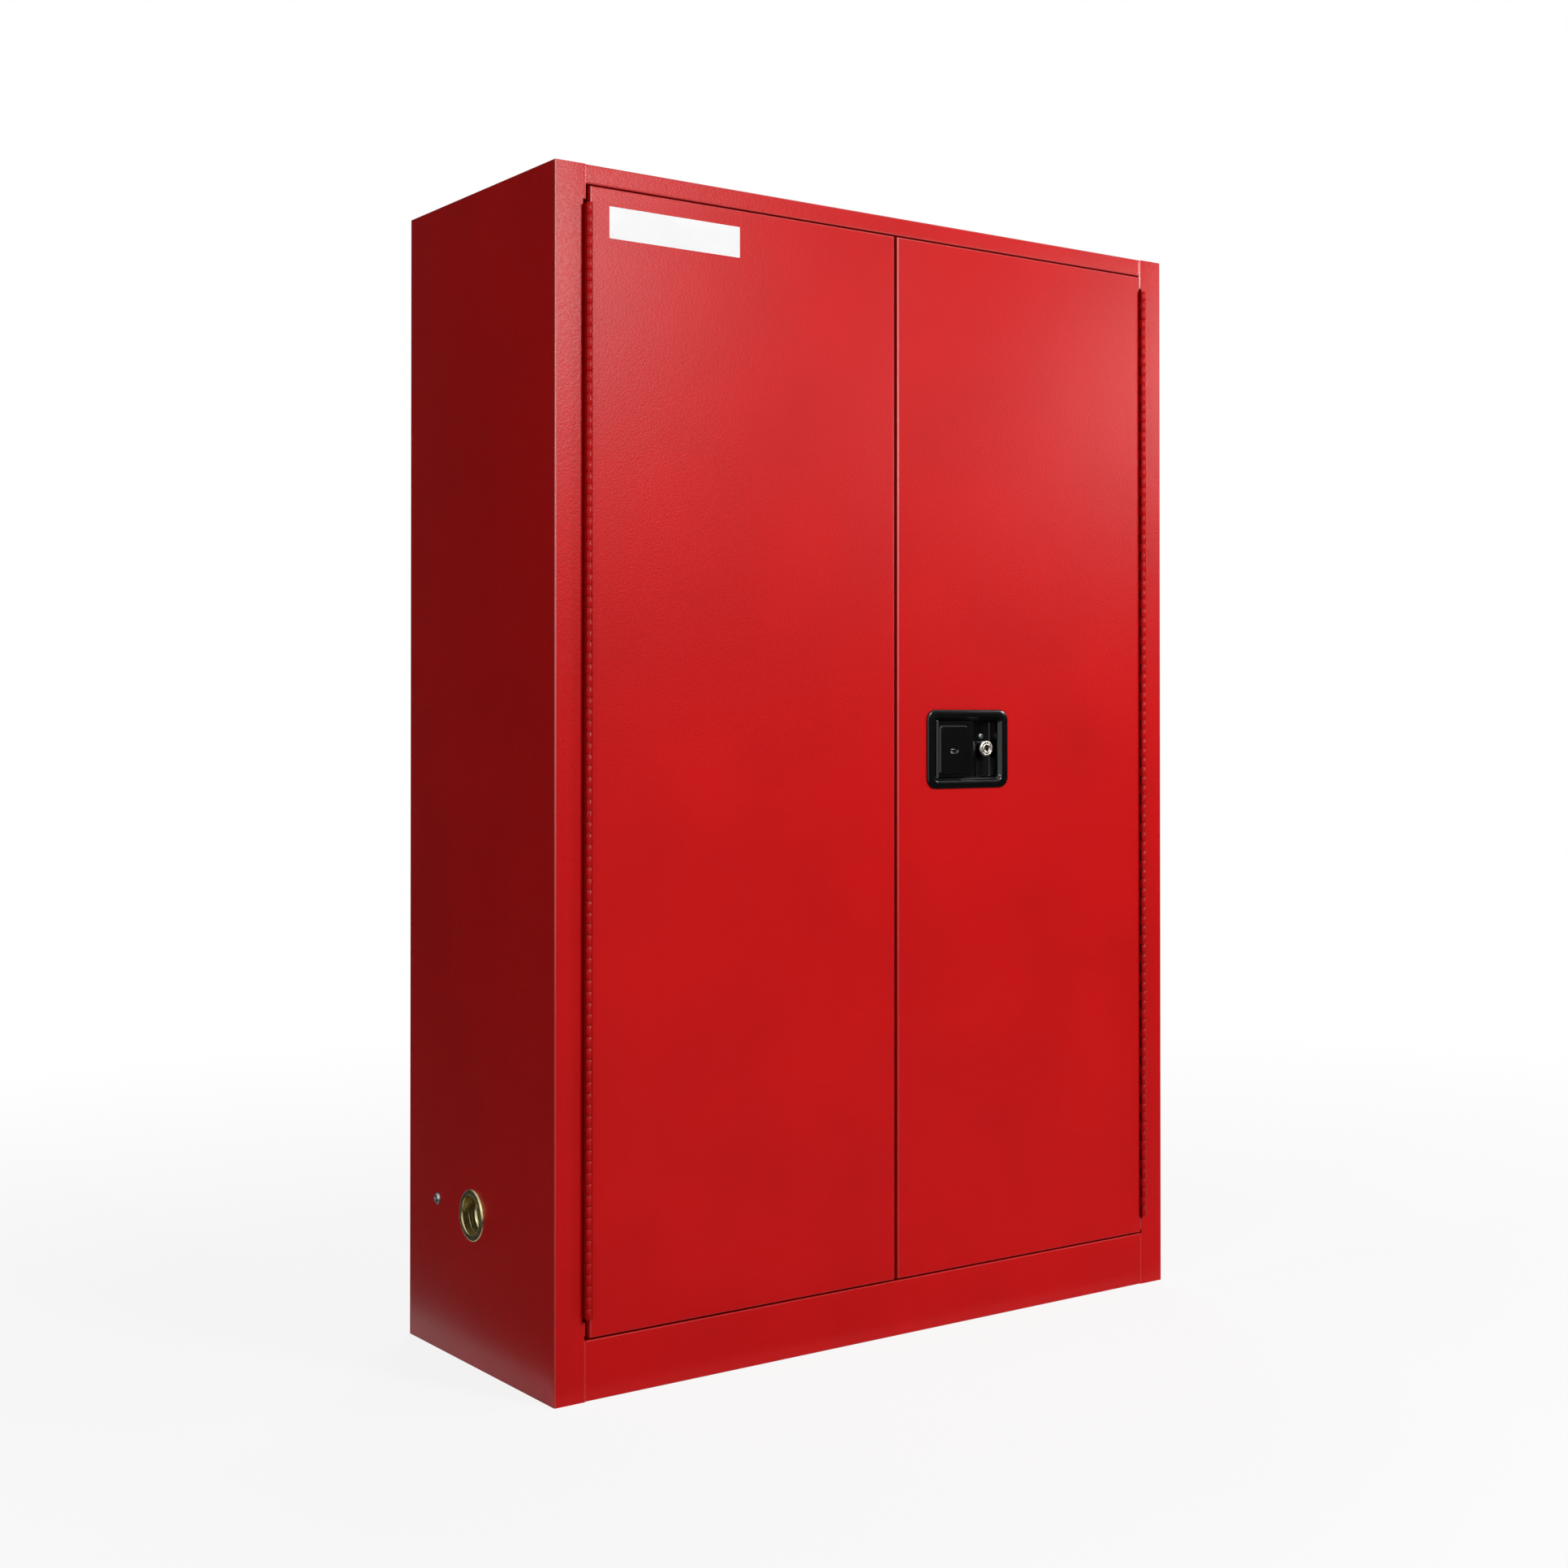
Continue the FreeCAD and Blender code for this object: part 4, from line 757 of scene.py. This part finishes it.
class CABINET_OT_latch(bpy.types.Operator):
    """Build the pressed dish, the rolled paddle, the key lock and the inner cover"""

    bl_idname = "cabinet.latch"
    bl_label = "Build the latch"

    def execute(self, context):
        latch_dish()
        paddle()
        lock_housing()
        lock_plug()
        latch_cover()
        return {"FINISHED"}


# Screws


def along_axis(centre, axis, along, u, v):
    """A point at a distance along an axis and two distances across it."""
    offset = {"X": (along, u, v), "Y": (u, along, v)}[axis]
    return Vector(centre) + Vector(offset)


def pan_screw(name, centre, axis, facing, sizes, body, finish, node):
    """A pan head screw with a cross recess; the centre is where its head seats, and facing is
    -1 where the head looks down the axis; sizes are head radius and height, shank radius and length."""
    radius, height, shank, length = sizes
    rows = (
        (height, 0.50 * radius), (0.96 * height, 0.70 * radius), (0.84 * height, 0.85 * radius),
        (0.58 * height, 0.96 * radius), (0.25 * height, radius), (0.0, radius), (0.0, shank),
        (-length, shank))
    shape = bmesh.new()
    loft(shape, turned([(facing * along, r) for along, r in rows], centre, axis, 40))
    made = piece(name, shape, body, finish, (node,) if node else ())
    cross = bmesh.new()
    rings = []
    for along, size in ((1.3 * height, 1.0), (0.42 * height, 0.55)):
        a, b = 0.15 * radius * size, 0.66 * radius * size
        rings.append([along_axis(centre, axis, facing * along, u, v) for u, v in (
            (b, a), (a, a), (a, b), (-a, b), (-a, a), (-b, a),
            (-b, -a), (-a, -a), (-a, -b), (a, -b), (a, -a), (b, -a))])
    loft(cross, rings)
    cut_out(made, cross)


class CABINET_OT_screws(bpy.types.Operator):
    """Build the screws of the dish, of the earthing point and of the inner cover"""

    bl_idname = "cabinet.screws"
    bl_label = "Build the screws"

    def execute(self, context):
        low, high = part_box("dish_screw")
        seat = Vector(((low.x + high.x) / 2, low.y + 2.6 * MM, (low.z + high.z) / 2))
        pan_screw("dish_screw_pan", seat, "Y", -1, (4.5 * MM, 2.6 * MM, 2.45 * MM, high.y - seat.y),
                  "right_door", "zinc plated steel", "dish_screw")
        low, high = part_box("earthing_screw")
        seat = Vector((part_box("left_side_panel")[0].x, (low.y + high.y) / 2, (low.z + high.z) / 2))
        pan_screw("earthing_screw_pan", seat, "X", -1, (7.2 * MM, 4.0 * MM, 2.95 * MM, high.x - seat.x),
                  "cabinet", "zinc plated steel", "earthing_screw")
        washer = bmesh.new()
        rows = ((-0.2, 3.2), (-0.2, 8.8), (-1.0, 9.0), (-1.3, 8.7), (-1.3, 3.2))
        rings = turned([(along * MM, r * MM) for along, r in rows], seat, "X", 48)
        loft(washer, rings + [rings[0]], False, False)
        piece("earthing_washer", washer, "cabinet", "zinc plated steel")
        low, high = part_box("latch_cover")
        inset = 8 * MM
        for i, x in enumerate((low.x + inset, (low.x + high.x) / 2, high.x - inset)):
            for j, z in enumerate((low.z + inset, high.z - inset)):
                pan_screw("cover_screw_%d%d" % (i, j), Vector((x, high.y, z)), "Y", 1,
                          (3.6 * MM, 2.2 * MM, 1.9 * MM, 1.1 * MM),
                          "right_door", "zinc plated steel", None)
        return {"FINISHED"}


# Vent fittings and their flame screens


def vent_tube(side, cy, cz):
    """The turned brass fitting on the left (side -1) or the right (side 1)."""
    word = "left" if side < 0 else "right"
    low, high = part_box(word + "_vent_fitting")
    outer = low.x if side < 0 else high.x
    inner = high.x if side < 0 else low.x
    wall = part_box(word + "_side_panel")
    seat = wall[0].x if side < 0 else wall[1].x
    # Place along the axis, radius and, where it isn't nought, depth from that place
    rows = [
        (seat, 36.75), (outer, 36.75, 3.4), (outer, 36.6, 2.5), (outer, 36.1, 1.6), (outer, 35.3, 0.8),
        (outer, 34.2, 0.25), (outer, 33.0, 0.0), (outer, 30.2, 0.0), (outer, 29.0, 0.3),
        (outer, 28.1, 1.0), (outer, 27.6, 2.0), (outer, 27.5, 3.0),
        (outer, 27.5, 10.4), (outer, 28.0, 10.8), (outer, 28.0, 11.6), (outer, 27.5, 12.0),
        (outer, 27.5, 14.6), (outer, 28.1, 14.9), (outer, 28.1, 16.2), (outer, 27.5, 16.5),
        (outer, 27.5, 20.6), (outer, 27.2, 20.9), (outer, 26.2, 23.4), (outer, 26.0, 23.8),
        (outer, 26.0, 29.0), (outer, 25.5, 29.4), (outer, 24.5, 29.4),
        (inner, 24.5), (inner, 30.1), (seat, 30.1)]
    profile = [(at - side * sum(depth) * MM, r * MM) for at, r, *depth in rows]
    rings = turned(profile, (0, cy, cz), "X", 72)
    shape = bmesh.new()
    close_round(shape, rings)
    piece(word + "_vent_turned", shape, "cabinet", "turned brass",
          (word + "_vent_fitting",), 25)


def wire(shape, start, along, bow, length, pitch, radius, first):
    """One wire of a woven screen: it bows over and under at every pitch."""
    count = max(2, int(length / pitch * 2))
    rings = []
    for i in range(count + 1):
        t = i / count * length - length / 2
        lift = math.cos(math.pi * (t / pitch + first)) * radius
        centre = start + along * t + bow * lift
        across = along.cross(bow)
        rings.append([
            centre + across * (radius * math.cos(angle)) + bow * (radius * math.sin(angle))
            for angle in (math.radians(a) for a in range(0, 360, 72))])
    loft(shape, rings)


def flame_screen(side, cy, cz):
    """A disc of woven wire in a pressed rim."""
    word = "left" if side < 0 else "right"
    low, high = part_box(word + "_flame_screen")
    x = (low.x + high.x) / 2
    disc = (high.z - low.z) / 2
    pitch, radius, bow = 2.4 * MM, 0.32 * MM, Vector((1, 0, 0))
    shape = bmesh.new()
    edge, inset = 1.5 * MM, 0.8 * MM
    steps = int((disc - edge) / pitch)
    for i in range(-steps, steps + 1):
        u = i * pitch
        length = 2 * math.sqrt((disc - inset) ** 2 - u * u)
        wire(shape, Vector((x, cy + u, cz)), Vector((0, 0, 1)), bow, length, pitch, radius, i)
        wire(shape, Vector((x, cy, cz + u)), Vector((0, 1, 0)), bow, length, pitch, radius, i + 1)
    rim = turned([(low.x, disc), (low.x, disc - 1.6 * MM), (high.x, disc - 1.6 * MM), (high.x, disc)],
                 (0, cy, cz), "X", 48)
    loft(shape, rim + [rim[0]], False, False)
    piece(word + "_screen_woven", shape, "cabinet", "woven stainless wire",
          (word + "_flame_screen",), 60)


class CABINET_OT_vents(bpy.types.Operator):
    """Build the turned vent fittings and their woven flame screens"""

    bl_idname = "cabinet.vents"
    bl_label = "Build the vents"

    def execute(self, context):
        for side, word in ((-1, "left"), (1, "right")):
            low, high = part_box(word + "_vent_fitting")
            cy, cz = (low.y + high.y) / 2, (low.z + high.z) / 2
            vent_tube(side, cy, cz)
            flame_screen(side, cy, cz)
        return {"FINISHED"}


# Blank label and weld beads


class CABINET_OT_label(bpy.types.Operator):
    """Stick the blank label on the left door"""

    bl_idname = "cabinet.label"
    bl_label = "Stick on the label"

    def execute(self, context):
        sizes = context.scene.cabinet_sizes
        low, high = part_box("left_door_skin")
        from_side, from_top = 28 * MM, 23.5 * MM
        cx = low.x + from_side + sizes.label_width / 2
        cz = high.z - from_top - sizes.label_height / 2
        shape = bmesh.new()
        rings = [
            rounded_ring(cx, cz, sizes.label_width - 2 * ease * MM, sizes.label_height - 2 * ease * MM,
                         1.2 * MM, low.y - back * MM)
            for ease, back in ((0.0, -0.02), (0.0, 0.18), (0.07, 0.25))]
        loft(shape, rings)
        piece("blank_label", shape, "left_door", "white vinyl film")
        return {"FINISHED"}


SEAM_DEPTH = 1.2 * MM  # how deep a bead's root lies in its seam


def weld_bead(shape, x, face, z0, z1, width, proud):
    """A dressed weld: a low ridge whose height and width waver along the joint."""
    count = max(3, int((z1 - z0) / (1.5 * MM)))
    rings = []
    for i in range(count + 1):
        z = z0 + (z1 - z0) * i / count
        waver = 1 + 0.05 * math.sin(i * 1.9 + x * 40) + 0.03 * math.sin(i * 4.3)
        ends = min(1.0, (min(i, count - i) + 0.4) / 2)
        rise = proud * waver * ends + SEAM_DEPTH
        rings.append([
            Vector((x + width / 2 * waver * math.cos(angle),
                    face + SEAM_DEPTH - rise * math.sin(angle) ** 0.5, z))
            for angle in (math.radians(a) for a in range(0, 181, 15))])
    loft(shape, rings)


class CABINET_OT_welds(bpy.types.Operator):
    """Lay the dressed welds between the stiles and the rails"""

    bl_idname = "cabinet.welds"
    bl_label = "Lay the welds"

    def execute(self, context):
        top_low, top_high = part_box("top_panel")
        rail_low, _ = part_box("base_rail")
        door_low, door_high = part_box("left_door_skin")
        joint = -door_low.x + 3.4 * MM
        width, from_door = 3.6 * MM, 4.5 * MM
        shape = bmesh.new()
        for x in (-joint, joint):
            weld_bead(shape, x, top_low.y, door_high.z + from_door, top_high.z - 2.2 * MM, width, 0.22 * MM)
            weld_bead(shape, x, top_low.y, rail_low.z + 2 * MM, door_low.z - from_door, width, 0.09 * MM)
        piece("stile_welds", shape, "cabinet", "powder coated steel")
        return {"FINISHED"}


# Stage


def aim(camera, yaw, pitch, roll):
    """Turn the camera: yaw from +Y towards +X, pitch up and roll, in degrees."""
    y, p = math.radians(yaw), math.radians(pitch)
    forward = Vector((math.sin(y) * math.cos(p), math.cos(y) * math.cos(p), math.sin(p)))
    turn = forward.to_track_quat("-Z", "Y").to_matrix()
    camera.rotation_euler = (turn @ Matrix.Rotation(math.radians(roll), 3, "Z")).to_euler()


def turn_to(made, place, target):
    """Put an object at a place and turn its lit side to a point."""
    made.location = place
    made.rotation_euler = (Vector(target) - Vector(place)).to_track_quat("-Z", "Y").to_euler()


def area_light(name, place, target, width, height, power):
    """A soft box that faces a point, in watts and metres."""
    light = bpy.data.lights.new(name, "AREA")
    light.shape = "RECTANGLE"
    light.size, light.size_y = width, height
    light.energy = power
    made = bpy.data.objects.new(name, light)
    bpy.context.scene.collection.objects.link(made)
    turn_to(made, place, target)
    made.visible_camera = False


def flat_piece(name, width, height, material):
    """A flat rectangle of the stage round its own middle."""
    shape = bmesh.new()
    for x, y in ((-1, -1), (1, -1), (1, 1), (-1, 1)):
        shape.verts.new((x * width / 2, y * height / 2, 0.0))
    shape.faces.new(list(shape.verts))
    mesh = bpy.data.meshes.new(name)
    shape.to_mesh(mesh)
    shape.free()
    mesh.materials.append(bpy.data.materials[material])
    made = bpy.data.objects.new(name, mesh)
    bpy.context.scene.collection.objects.link(made)
    return made


def seen_directly(tree):
    """One where the camera, a mirror-like or a clear surface looks, and nought elsewhere."""
    path = add_node(tree, "ShaderNodeLightPath")
    seen = combine(tree, path.outputs["Is Camera Ray"], path.outputs["Is Glossy Ray"], "MAXIMUM")
    return combine(tree, seen, path.outputs["Is Transmission Ray"], "MAXIMUM")


def dark_card(name, place, target, width, height):
    """A black card out of the picture that darkens what the polished faces mirror."""
    made = flat_piece(name, width, height, "black card")
    turn_to(made, place, target)
    made.visible_camera = False
    made.visible_diffuse = False
    made.visible_shadow = False


def studio_world():
    """White where it is looked at, dim where it lights."""
    world = bpy.data.worlds.new("studio")
    bpy.context.scene.world = world
    world.use_nodes = True
    tree = world.node_tree
    tree.nodes.clear()
    seen, light = 1.0, 0.12
    white = add_node(tree, "ShaderNodeBackground", {"Color": (1, 1, 1, 1), "Strength": seen})
    dim = add_node(tree, "ShaderNodeBackground", {"Color": (1, 1, 1, 1), "Strength": light})
    mix = add_node(tree, "ShaderNodeMixShader", {
        0: seen_directly(tree), 1: dim.outputs[0], 2: white.outputs[0]})
    out = add_node(tree, "ShaderNodeOutputWorld")
    tree.links.new(mix.outputs[0], out.inputs["Surface"])


def studio_floor():
    """A pale floor that fades to white away from the cabinet's foot."""
    tree, shader, place = start_material("pale studio floor")
    shader.inputs["Base Color"].default_value = linear("#E8E8E8")
    shader.inputs["Roughness"].default_value = 0.85
    bumped(tree, shader, waves(tree, place, 0.02), 0.02, 0.001)
    glow = add_node(tree, "ShaderNodeEmission", {"Color": (1, 1, 1, 1), "Strength": 1.0})
    away = add_node(tree, "ShaderNodeVectorMath", {0: place}, operation="LENGTH").outputs["Value"]
    least, near, far = 0.87, 1.0, 3.2
    share = combine(tree, seen_directly(tree), spread(tree, away, least, 1.0, near, far), "MULTIPLY")
    mixed = add_node(tree, "ShaderNodeMixShader", {
        0: share, 1: shader.outputs["BSDF"], 2: glow.outputs[0]})
    output = [n for n in tree.nodes if n.type == "OUTPUT_MATERIAL"][0]
    tree.links.new(mixed.outputs[0], output.inputs["Surface"])
    width = 80.0
    flat_piece("floor", width, width, "pale studio floor")


def black_card_material():
    """Matt black with a trace of light of its own."""
    tree, shader, place = start_material("black card")
    shader.inputs["Base Color"].default_value = linear("#101010")
    shader.inputs["Roughness"].default_value = 0.9
    shader.inputs["Emission Color"].default_value = (1, 1, 1, 1)
    shader.inputs["Emission Strength"].default_value = 0.015
    bumped(tree, shader, waves(tree, place, 0.02), 0.05, 0.001)


def studio_camera():
    """The photograph's camera, as solved on the corners of the cabinet."""
    lens = bpy.data.cameras.new("camera")
    lens.lens, lens.sensor_width = 50.511, 36.0
    lens.shift_x, lens.shift_y = -0.11016, -0.05052
    lens.clip_start, lens.clip_end = 0.05, 200.0
    camera = bpy.data.objects.new("camera", lens)
    bpy.context.scene.collection.objects.link(camera)
    camera.location = (-1.91128, -2.84599, 0.90430)
    yaw, pitch, roll = 37.897, 0.446, -0.040
    aim(camera, yaw, pitch, roll)
    bpy.context.scene.camera = camera


# Name, place, point faced, width and height
CARDS = (
    ("right card", (2.3, -3.5, 1.3), (0.0, -0.2, 1.3), 4.4, 2.6),
    ("left card", (-2.6, 2.6, 1.7), (-0.5, 0.0, 1.7), 5.0, 3.4),
    ("far right card", (3.4, -0.8, 1.4), (0.0, -0.8, 1.4), 3.6, 2.8),
    ("front floor card", (1.5, -2.24, 0.003), (1.5, -2.24, -1.0), 5.0, 3.96),
    ("left floor card", (-2.7, 2.2, 0.003), (-2.7, 2.2, -1.0), 4.2, 6.6),
)

# Name, place, point faced, width, height and power
LIGHTS = (
    ("left key", (0.6, -3.1, 2.2), (-0.2, -0.2, 1.1), 0.6, 0.5, 67),
    ("right key", (3.1, -2.55, 2.0), (0.2, -0.2, 1.1), 0.6, 0.5, 32),
    ("fill", (-3.6, -2.0, 2.4), (-0.5, 0.0, 1.2), 0.4, 2.0, 26),
    ("back fill", (2.0, 3.3, 2.1), (0.2, 0.0, 0.9), 1.8, 1.2, 55),
)


class CABINET_OT_stage(bpy.types.Operator):
    """Set up the floor, the lights and the camera"""

    bl_idname = "cabinet.stage"
    bl_label = "Set up the stage"

    def execute(self, context):
        context.scene.view_settings.view_transform = "Standard"
        studio_world()
        studio_floor()
        black_card_material()
        for card in CARDS:
            dark_card(*card)
        for light in LIGHTS:
            area_light(*light)
        studio_camera()
        return {"FINISHED"}


class CABINET_PT_panel(bpy.types.Panel):
    """The steps that make the cabinet"""

    bl_label = "Storage cabinet"
    bl_idname = "CABINET_PT_panel"
    bl_space_type = "VIEW_3D"
    bl_region_type = "UI"
    bl_category = "Cabinet"

    def draw(self, context):
        layout = self.layout
        for group in (context.scene.cabinet_colours, context.scene.cabinet_sizes):
            for name in group.__annotations__:
                layout.prop(group, name)
        for step in STEPS:
            layout.operator(step.bl_idname)


STEPS = (
    CABINET_OT_materials,
    CABINET_OT_sheet_metal,
    CABINET_OT_hinges,
    CABINET_OT_latch,
    CABINET_OT_screws,
    CABINET_OT_vents,
    CABINET_OT_label,
    CABINET_OT_welds,
    CABINET_OT_stage,
)
CLASSES = (CabinetColours, CabinetSizes) + STEPS + (CABINET_PT_panel,)


def register():
    for cls in CLASSES:
        bpy.utils.register_class(cls)
    bpy.types.Scene.cabinet_colours = bpy.props.PointerProperty(type=CabinetColours)
    bpy.types.Scene.cabinet_sizes = bpy.props.PointerProperty(type=CabinetSizes)


def unregister():
    del bpy.types.Scene.cabinet_colours
    del bpy.types.Scene.cabinet_sizes
    for cls in reversed(CLASSES):
        bpy.utils.unregister_class(cls)


def main():
    register()
    for step in STEPS:
        group, name = step.bl_idname.split(".")
        getattr(getattr(bpy.ops, group), name)()


if __name__ == "__main__":
    main()
